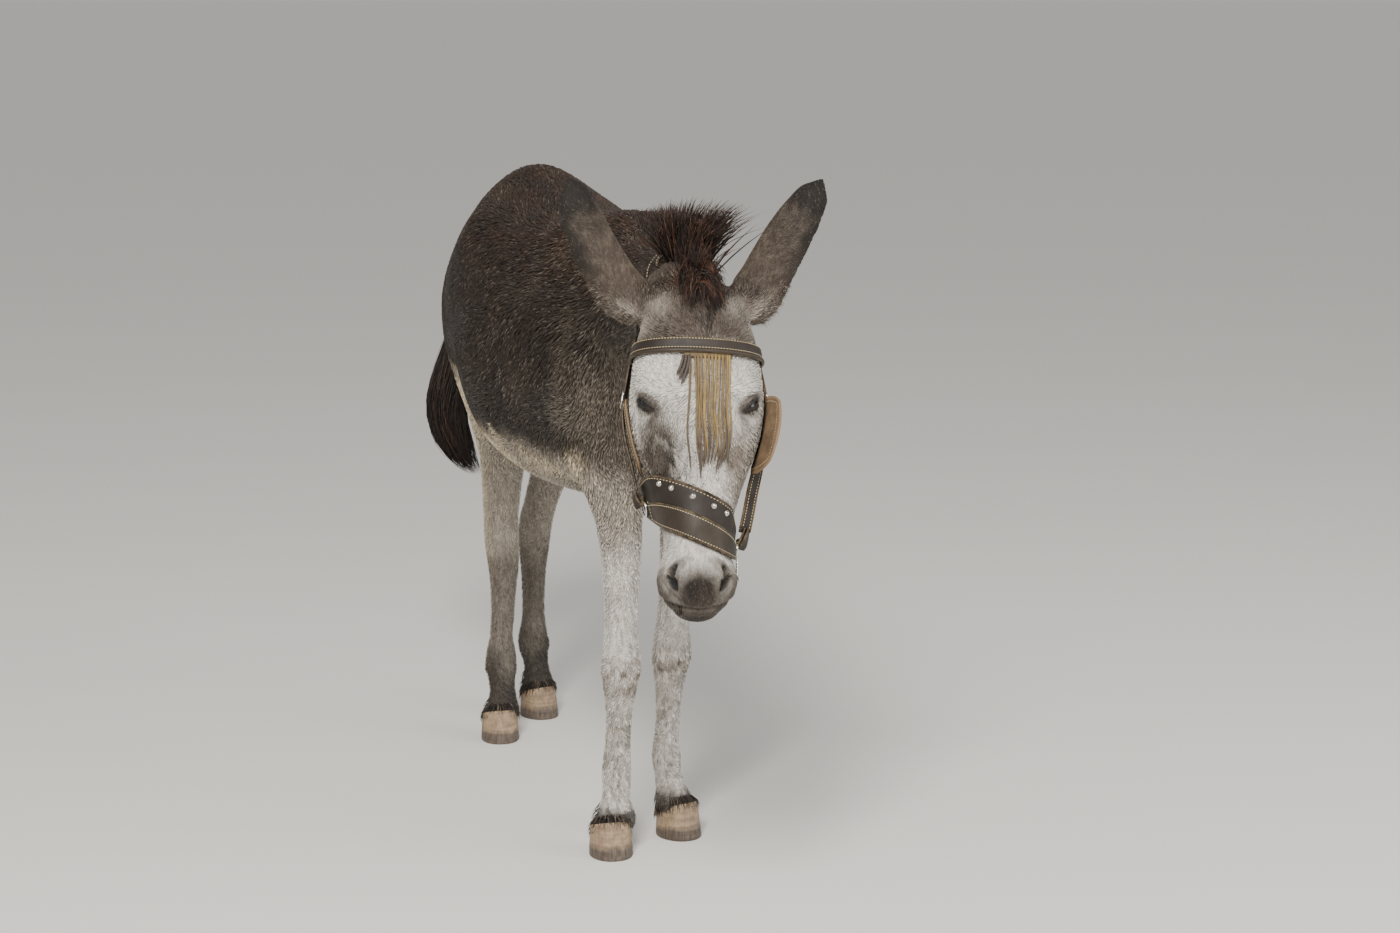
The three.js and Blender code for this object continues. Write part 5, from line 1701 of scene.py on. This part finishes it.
def flat_strip(name, line, wide, thick, hand):
    """A strip of leather along a line, turned a little towards the front as it goes down."""
    along = unit(np.gradient(line, axis=0))
    turn = np.linspace(0.15, 0.95, len(line))[:, None]
    out = unit(np.array((hand, 0.0, 0.0)) * np.cos(turn) + np.array((0.0, -1.0, 0.0)) * np.sin(turn))
    across = unit(np.cross(along, out))
    out = np.cross(across, along)
    section = np.array([(-1, 0.2), (-0.9, 0.85), (-0.4, 1), (0.4, 1), (0.9, 0.85), (1, 0.2),
                        (1, -0.2), (0.9, -0.85), (0, -1), (-0.9, -0.85), (-1, -0.2)])
    rings = (line[:, None] + across[:, None] * section[None, :, :1] * wide[:, None, None] / 2
             + out[:, None] * section[None, :, 1:] * thick / 2)
    wear = np.tile((abs(section[:, 0]) > 0.85) * 1.0, (len(line), 1))
    return tube(name, rings, wear)


def add_hook(strap):
    """A snap hook that hangs from the left ring."""
    along, across = noseband_share(104, -12)
    top = strap.place(np.array([along]), np.array([across]), 8)[0] + (0, 0, -12)
    t = np.linspace(0, 1, 30)
    bend = np.where(t < 0.55, 0, (t - 0.55) / 0.45 * math.pi)
    line = np.stack([
        top[0] + 5 * np.sin(bend), top[1] + 11 * (1 - np.cos(bend)) * -0.5,
        top[2] - 34 * np.minimum(t / 0.55, 1) - 8 * np.sin(bend),
    ], 1)
    piece("hook_left", round_strip("hook_left", line, np.full(30, 3.6), 3.2), "nickel", materials=(NICKEL,))


# ---------------------------------------------------------------- hooves and eyes
def hoof_mesh(leg, rows=30, around=64):
    x, y, turn = LEGS[leg]
    rng = np.random.default_rng(x + 500)
    rings, t = [], np.linspace(0, 1, rows)
    swing = np.linspace(0, math.tau, around + 1)[:-1]
    c, s = np.cos(swing), np.sin(swing)
    growth = np.interp(np.linspace(0, 1, 400), np.linspace(0, 1, 26), rng.normal(0, 1, 26))
    for level in t:
        ripple = 0.004 * growth[int(level * 399)] - 0.02 * math.exp(-((level - 0.0) / 0.03) ** 2)
        ripple -= 0.03 * math.exp(-(((1 - level) / 0.05) ** 2))
        taper = (1 - 0.08 * level) * (1 + ripple)
        sideways = HOOF["half"] * taper * np.sign(c) * abs(c) ** 0.9
        ahead = np.where(s > 0, HOOF["toe"], HOOF["heel"]) * taper * s - 10 * level * (1 + s) * 0.5
        cleft = 5 * np.exp(-(((s + 1) / 0.12) ** 2))
        height = level * (HOOF["top"] + HOOF["slope"] * (ahead - 40))
        rings.append(np.stack([sideways, -(ahead + cleft), height], 1))
    co = np.concatenate(rings)
    bm = bmesh.new()
    verts = [bm.verts.new(v) for v in co]
    for i in range(rows - 1):
        for j in range(around):
            n = (j + 1) % around
            corners = i * around + j, (i + 1) * around + j, (i + 1) * around + n, i * around + n
            bm.faces.new([verts[q] for q in corners])
    bm.faces.new(verts[:around])
    bm.faces.new(verts[-around:][::-1])
    place = Matrix.Translation((Vector((x, y, 0)) + ORIGIN) / 1000)
    bm.transform(place @ Matrix.Rotation(math.radians(turn), 4, "Z") @ Matrix.Scale(0.001, 4))
    mesh = as_mesh(bm, f"hoof_{leg}")
    layer = mesh.attributes.new("level", "FLOAT", "POINT")
    layer.data.foreach_set("value", np.repeat(t, around).astype(np.float32))
    return mesh


def add_eye(side):
    centre, look, slit, up = eye_axes(side)
    bm = bmesh.new()
    bmesh.ops.create_uvsphere(bm, u_segments=64, v_segments=48, radius=1)
    turn = Matrix(np.stack([slit, up, look], 1).tolist()).to_4x4()
    if turn.determinant() < 0:
        bmesh.ops.reverse_faces(bm, faces=bm.faces)
    mesh = as_mesh(bm, f"eye_{side}")
    co = places_of(mesh)
    off = np.hypot(co[:, 0], co[:, 1])
    front = co[:, 2] > 0
    bulge = 1 + 0.05 * smooth(0.62, 0.3, off) * front
    ray = mottle(np.stack([np.arctan2(co[:, 1], co[:, 0]), 0 * off, off * 0.3], 1), 0.12, 5)
    iris = tint("150d09") * (1 + 0.5 * ray[:, None])
    pupil = (1 - smooth(0.8, 1.1, np.hypot(co[:, 0] / 0.34, co[:, 1] / 0.19))) * front
    white = smooth(0.60, 0.68, off) + (1 - front)
    colour = iris * (1 - np.clip(pupil, 0, 1))[:, None] + tint("0a0c12") * np.clip(pupil, 0, 1)[:, None]
    colour = colour + (tint("17100c") - colour) * np.clip(white, 0, 1)[:, None]
    paint(mesh, colour)
    local = co * bulge[:, None] * (EYE_RADIUS - 0.2)
    put_places(mesh, from_head(local @ np.array(turn.to_3x3()).T + centre))
    piece(f"eye_{side}", mesh, "wet_eye", f"eye_{side}", materials=(WET_EYE,))


# ---------------------------------------------------------------- materials
class Nodes:
    """Short calls that add nodes to a tree and link them."""

    def __init__(self, tree):
        self.tree = tree

    def add(self, kind, ins=None, **settings):
        made = self.tree.nodes.new(kind)
        for key, value in settings.items():
            setattr(made, key, value)
        for key, value in (ins or {}).items():
            if isinstance(value, bpy.types.NodeSocket):
                self.tree.links.new(value, made.inputs[key])
            else:
                made.inputs[key].default_value = value
        return made

    def math(self, operation, a, b=0.0):
        return self.add("ShaderNodeMath", {0: a, 1: b}, operation=operation).outputs[0]

    def mix(self, share, a, b, blend_type="MIX"):
        return self.add("ShaderNodeMix", {0: share, 6: a, 7: b}, data_type="RGBA", blend_type=blend_type).outputs[2]

    def noise(self, place, scale, detail=3.0, rough=0.55):
        ins = {"Vector": place, "Scale": scale, "Detail": detail, "Roughness": rough}
        return self.add("ShaderNodeTexNoise", ins).outputs["Fac"]

    def ramp(self, value, low, high):
        ins = {"Value": value, "From Min": low, "From Max": high}
        return self.add("ShaderNodeMapRange", ins, interpolation_type="SMOOTHSTEP").outputs[0]

    def places(self, scale=(1, 1, 1)):
        at = self.add("ShaderNodeTexCoord").outputs["Object"]
        return self.add("ShaderNodeMapping", {"Vector": at, "Scale": scale}).outputs[0]

    def attribute(self, name):
        return self.add("ShaderNodeAttribute", attribute_name=name)


def rgba(code):
    return (*tint(code), 1.0)


def shared(name, ins, outs, build):
    """A shader node group. ins and outs are (label, socket type) pairs."""
    tree = bpy.data.node_groups.new(name, "ShaderNodeTree")
    for label, kind in ins:
        tree.interface.new_socket(label, in_out="INPUT", socket_type=kind)
    for label, kind in outs:
        tree.interface.new_socket(label, in_out="OUTPUT", socket_type=kind)
    nodes = Nodes(tree)
    given = nodes.add("NodeGroupInput")
    made = build(nodes, given.outputs)
    nodes.add("NodeGroupOutput", dict(zip((label for label, _ in outs), made)))
    return tree


FLOAT, COLOR, VECTOR = "NodeSocketFloat", "NodeSocketColor", "NodeSocketVector"


def grain_nodes(nodes, given):
    """Pores and creases of leather, as a height, and an uneven tone."""
    cells = nodes.add("ShaderNodeTexVoronoi", {"Vector": given["Place"], "Scale": 620.0}, feature="DISTANCE_TO_EDGE")
    pores = nodes.ramp(cells.outputs["Distance"], 0.0, 0.12)
    creases = nodes.noise(given["Place"], 90.0, 5.0, 0.65)
    height = nodes.math("ADD", nodes.math("MULTIPLY", pores, 0.5), creases)
    tone = nodes.ramp(nodes.noise(given["Place"], 34.0, 4.0, 0.6), 0.3, 0.7)
    return height, tone


def fibre_nodes(nodes, given):
    """Fine fibres, as a height, and a tone that varies along them."""
    fine = nodes.noise(given["Place"], 900.0, 2.0, 0.6)
    broad = nodes.noise(given["Place"], 120.0, 3.0, 0.6)
    return nodes.math("ADD", fine, broad), nodes.ramp(broad, 0.32, 0.68)


def dust_nodes(nodes, given):
    """Mixes dust into a colour, in soft patches."""
    patches = nodes.ramp(nodes.noise(given["Place"], 7.0, 5.0, 0.6), 0.45, 0.75)
    return (nodes.mix(nodes.math("MULTIPLY", patches, given["Amount"]), given["Color"], rgba("857662")),)


PLACE = [("Place", VECTOR)]
GRAIN = shared("leather_grain", PLACE, [("Height", FLOAT), ("Tone", FLOAT)], grain_nodes)
FIBRE = shared("hair_fibre", PLACE, [("Height", FLOAT), ("Tone", FLOAT)], fibre_nodes)
DUST = shared("dust", [("Color", COLOR), ("Amount", FLOAT), *PLACE], [("Color", COLOR)], dust_nodes)


def new_material(name):
    material = bpy.data.materials.new(name)
    material.use_nodes = True
    nodes = Nodes(material.node_tree)
    return material, nodes, material.node_tree.nodes["Principled BSDF"]


def finish_material(nodes, shader, colour, rough, height, bump, distance, **values):
    nodes.tree.links.new(colour, shader.inputs["Base Color"])
    if isinstance(rough, bpy.types.NodeSocket):
        nodes.tree.links.new(rough, shader.inputs["Roughness"])
    else:
        shader.inputs["Roughness"].default_value = rough
    made = nodes.add("ShaderNodeBump", {"Strength": bump, "Distance": distance, "Height": height})
    nodes.tree.links.new(made.outputs[0], shader.inputs["Normal"])
    for key, value in values.items():
        shader.inputs[key.replace("_", " ")].default_value = value


def painted_hair(name, rough, dust, bump, distance, stretch=(1, 1, 0.3)):
    """Hair or skin whose colour is painted on its vertices."""
    material, nodes, shader = new_material(name)
    place = nodes.places(stretch)
    fibre = nodes.add("ShaderNodeGroup", {"Place": place}, node_tree=FIBRE)
    colour = nodes.attribute("coat").outputs["Color"]
    colour = nodes.mix(nodes.math("MULTIPLY", fibre.outputs["Tone"], 0.34), colour, rgba("14100e"))
    colour = nodes.add("ShaderNodeGroup", {"Color": colour, "Amount": dust, "Place": nodes.places()}, node_tree=DUST)
    finish_material(nodes, shader, colour.outputs[0], rough, fibre.outputs["Height"], bump, distance,
                    Specular_IOR_Level=0.35)
    return material


def leather(name, code, worn, dusty, rough=0.52):
    material, nodes, shader = new_material(name)
    grain = nodes.add("ShaderNodeGroup", {"Place": nodes.places()}, node_tree=GRAIN)
    base = nodes.mix(grain.outputs["Tone"], rgba(code), nodes.mix(0.35, rgba(code), rgba("15100c")))
    wear = nodes.attribute("wear").outputs["Fac"]
    rub = nodes.ramp(nodes.noise(nodes.places(), 70.0, 4.0, 0.7), 0.35, 0.62)
    colour = nodes.mix(nodes.math("MULTIPLY", wear, nodes.math("MULTIPLY", rub, 0.85)), base, rgba(worn))
    colour = nodes.add("ShaderNodeGroup", {"Color": colour, "Amount": dusty, "Place": nodes.places()}, node_tree=DUST)
    shine = nodes.math("ADD", nodes.math("MULTIPLY", grain.outputs["Tone"], 0.16), rough - 0.08)
    finish_material(nodes, shader, colour.outputs[0], shine, grain.outputs["Height"], 0.35, 0.0006,
                    Specular_IOR_Level=0.3)
    return material


def suede():
    """Tan flesh side within, and darker smooth leather on the outside."""
    material, nodes, shader = new_material("blinker_leather")
    grain = nodes.add("ShaderNodeGroup", {"Place": nodes.places()}, node_tree=GRAIN)
    nap = nodes.noise(nodes.places(), 46.0, 6.0, 0.7)
    tan = nodes.mix(nodes.ramp(nap, 0.3, 0.7), rgba("6f5a42"), rgba("4e3d2b"))
    stains = nodes.ramp(nodes.noise(nodes.places(), 26.0, 5.0, 0.75), 0.60, 0.72)
    tan = nodes.mix(nodes.math("MULTIPLY", stains, 0.6), tan, rgba("4a3320"))
    dark = nodes.mix(grain.outputs["Tone"], rgba("4a3c2f"), rgba("2c231b"))
    colour = nodes.mix(nodes.attribute("inside").outputs["Fac"], dark, tan)
    rub = nodes.math("MULTIPLY", nodes.attribute("wear").outputs["Fac"], 0.55)
    colour = nodes.mix(rub, colour, rgba("8f7352"))
    finish_material(nodes, shader, colour, 0.75, grain.outputs["Height"], 0.3, 0.0005)
    return material


def thread_material():
    material, nodes, shader = new_material("thread")
    twist = nodes.noise(nodes.places(), 1400.0, 2.0)
    colour = nodes.mix(nodes.ramp(twist, 0.3, 0.7), rgba("cfc09b"), rgba("8f7e5e"))
    finish_material(nodes, shader, colour, 0.8, twist, 0.3, 0.0003)
    return material


def nickel():
    material, nodes, shader = new_material("nickel")
    dull = nodes.ramp(nodes.noise(nodes.places(), 160.0, 5.0, 0.65), 0.42, 0.7)
    colour = nodes.mix(nodes.math("MULTIPLY", dull, 0.5), rgba("d8d5cc"), rgba("857b6a"))
    scratches = nodes.noise(nodes.places((1, 1, 14)), 420.0, 3.0)
    rough = nodes.math("ADD", nodes.math("MULTIPLY", dull, 0.22), 0.2)
    finish_material(nodes, shader, colour, rough, scratches, 0.15, 0.0002, Metallic=1.0)
    return material


def horn():
    """Hoof wall: paler and pinker above, grey-brown below, with growth rings and fine tubules."""
    material, nodes, shader = new_material("hoof_horn")
    level = nodes.attribute("level").outputs["Fac"]
    wander = nodes.math("MULTIPLY", nodes.noise(nodes.places((1, 1, 0.4)), 26.0, 4.0), 0.22)
    share = nodes.ramp(nodes.math("ADD", level, wander), 0.34, 0.56)
    streaks = nodes.noise(nodes.places((1, 1, 0.08)), 300.0, 3.0)
    upper = nodes.mix(nodes.ramp(streaks, 0.25, 0.75), rgba("99856d"), rgba("866f56"))
    lower = nodes.mix(nodes.ramp(streaks, 0.25, 0.75), rgba("6a5e51"), rgba("3f352d"))
    colour = nodes.mix(share, lower, upper)
    rings = nodes.ramp(nodes.noise(nodes.places((0.06, 0.06, 1)), 150.0, 2.0), 0.3, 0.7)
    colour = nodes.mix(nodes.math("MULTIPLY", rings, 0.4), colour, rgba("3c3029"))
    mud = nodes.ramp(nodes.noise(nodes.places(), 55.0, 5.0, 0.65), 0.42, 0.66)
    colour = nodes.mix(nodes.math("MULTIPLY", nodes.math("MULTIPLY", mud, share), 0.6), colour, rgba("a89172"))
    height = nodes.math("ADD", nodes.math("MULTIPLY", rings, 0.8), nodes.math("MULTIPLY", streaks, 0.3))
    finish_material(nodes, shader, colour, 0.55, height, 0.4, 0.0012)
    return material


def wet_eye():
    material, nodes, shader = new_material("eye")
    veins = nodes.noise(nodes.places(), 300.0, 3.0)
    colour = nodes.mix(nodes.math("MULTIPLY", veins, 0.2), nodes.attribute("coat").outputs["Color"], rgba("140c08"))
    finish_material(nodes, shader, colour, 0.12, veins, 0.02, 0.0002, Coat_Weight=0.4,
                    Specular_IOR_Level=0.4)
    return material


def fringe_leather():
    material, nodes, shader = new_material("fringe_leather")
    grain = nodes.add("ShaderNodeGroup", {"Place": nodes.places()}, node_tree=GRAIN)
    streaks = nodes.noise(nodes.places((1, 1, 0.12)), 260.0, 4.0)
    colour = nodes.mix(nodes.math("MULTIPLY", nodes.ramp(streaks, 0.35, 0.7), 0.45),
                       nodes.attribute("coat").outputs["Color"], rgba("2e2218"))
    finish_material(nodes, shader, colour, 0.62, grain.outputs["Height"], 0.3, 0.0005)
    return material


FUR = painted_hair("fur", 0.62, 0.10, 0.25, 0.0006)
SKIN = painted_hair("skin", 0.72, 0.10, 0.55, 0.0012)
HAIR = painted_hair("long_hair", 0.42, 0.04, 0.2, 0.0004)
LEATHER = leather("leather", "241d17", "6a5a45", 0.04)
WORN_LEATHER = leather("worn_leather", "30281f", "74654a", 0.07, 0.5)
TAN = leather("tan_edge", "54402c", "83694a", 0.08, 0.6)
SUEDE, THREAD, NICKEL, HORN = suede(), thread_material(), nickel(), horn()
WET_EYE, FRINGE_LEATHER = wet_eye(), fringe_leather()


# ---------------------------------------------------------------- light, floor and camera
def add_camera():
    data = bpy.data.cameras.new("camera")
    data.sensor_width, data.lens, data.clip_end = 36, 67.213, 5000
    ob = bpy.data.objects.new("camera", data)
    ob.location = (-1.5307, -4.8581, 1.6129)
    ob.rotation_euler = (math.radians(90 - 10.1144), 0, math.radians(-19.5735))
    bpy.context.scene.collection.objects.link(ob)
    bpy.context.scene.camera = ob


def add_light(name, place, towards, size, power, colour):
    data = bpy.data.lights.new(name, "AREA")
    data.size, data.energy, data.color = size, power, colour
    ob = bpy.data.objects.new(name, data)
    ob.location = place
    ob.rotation_euler = (Vector(place) - Vector(towards)).to_track_quat("Z", "Y").to_euler()
    bpy.context.scene.collection.objects.link(ob)


def add_floor():
    """A pale floor that runs so far back that no edge shows."""
    bm = bmesh.new()
    bmesh.ops.create_circle(bm, cap_ends=True, segments=96, radius=2000)
    mesh = as_mesh(bm, "floor")
    floor = bpy.data.objects.new("floor", mesh)
    bpy.context.scene.collection.objects.link(floor)
    material, nodes, shader = new_material("floor")
    fine = nodes.noise(nodes.places(), 3.0, 5.0)
    colour = nodes.mix(nodes.math("MULTIPLY", fine, 0.08), rgba("dcd9d4"), rgba("c9c5bf"))
    finish_material(nodes, shader, colour, 0.85, fine, 0.05, 0.001)
    mesh.materials.append(material)


def add_world():
    """Even light from all around. Behind the floor it shows a little darker, so no line is seen there."""
    world = bpy.data.worlds.new("studio")
    bpy.context.scene.world = world
    world.use_nodes = True
    tree = world.node_tree
    light = tree.nodes["Background"]
    light.inputs["Color"].default_value = (0.88, 0.88, 0.87, 1)
    light.inputs["Strength"].default_value = 0.7
    seen = tree.nodes.new("ShaderNodeBackground")
    seen.inputs["Color"].default_value = (0.88, 0.866, 0.84, 1)
    seen.inputs["Strength"].default_value = 0.53
    choice = tree.nodes.new("ShaderNodeMixShader")
    tree.links.new(tree.nodes.new("ShaderNodeLightPath").outputs["Is Camera Ray"], choice.inputs[0])
    tree.links.new(light.outputs[0], choice.inputs[1])
    tree.links.new(seen.outputs[0], choice.inputs[2])
    tree.links.new(choice.outputs[0], tree.nodes["World Output"].inputs["Surface"])


# ---------------------------------------------------------------- the donkey
def build_skin():
    mesh = make_skin()
    colour, _ = coat_colour(places_of(mesh), normals_of(mesh))
    # The skin is painted darker than the coat, as painted shade in the gaps between the tufts.
    paint(mesh, colour * 0.72)
    piece("skin", mesh, "dark_coat", "head", "neck", "trunk", "tail", *LEGS, materials=(SKIN,))
    return mesh


def over_skin(mesh):
    """The outside of the coat on the head and neck, without the ears, in the head's millimetres."""
    co = places_of(mesh)
    h = in_head(co + normals_of(mesh) * coat_depth(co)[:, None])
    keep = (np.linalg.norm(h, axis=1) < 900) & (ear_share(h) < 0.4)
    return Surface(mesh, h, keep)


def add_coat(surface):
    which = part_of_coat(in_body(surface.middle), in_head(surface.middle))
    for seed, part in enumerate(COAT):
        mesh = make_tufts(part, surface, which, seed + 40)
        piece(f"coat_{part}", mesh, "dark_coat", materials=(FUR,))


skin_mesh = build_skin()
surface = Surface(skin_mesh)
OVER_SKIN = over_skin(skin_mesh)
add_coat(surface)
piece("mane", make_mane(surface), "dark_hair", "mane", materials=(HAIR,))
piece("forelock", make_forelock(), "dark_hair", "forelock", materials=(HAIR,))
piece("ear_hair", make_ear_hair(), "pale_coat", materials=(HAIR,))
piece("tail_hair", make_tail_hair(), "dark_hair", "tail_switch", materials=(HAIR,))
piece("fetlock_hair", make_fetlock_hair(surface), "dark_hair", materials=(HAIR,))
for leg in LEGS:
    piece(f"hoof_{leg}", hoof_mesh(leg), "horn", f"hoof_{leg}", materials=(HORN,))
for side in SIDES:
    add_eye(side)
add_browband()
nose_strap = add_noseband()
add_chin_strap()
add_crownpiece()
for side, end in (("left", -440), ("right", -376)):
    add_billet(side, add_cheekpiece(side, end), nose_strap)
add_blinker("left", 66, 50)
add_blinker("right", 102, 0)
add_fringe()
add_hook(nose_strap)

add_camera()
add_floor()
add_world()
add_light("key", (-2.2, -4.4, 4.6), (0, 0, 0.8), 1.8, 560, (1.0, 0.96, 0.91))
add_light("fill", (4.0, -3.2, 2.4), (0, 0, 0.7), 3.0, 110, (0.96, 0.97, 1.0))
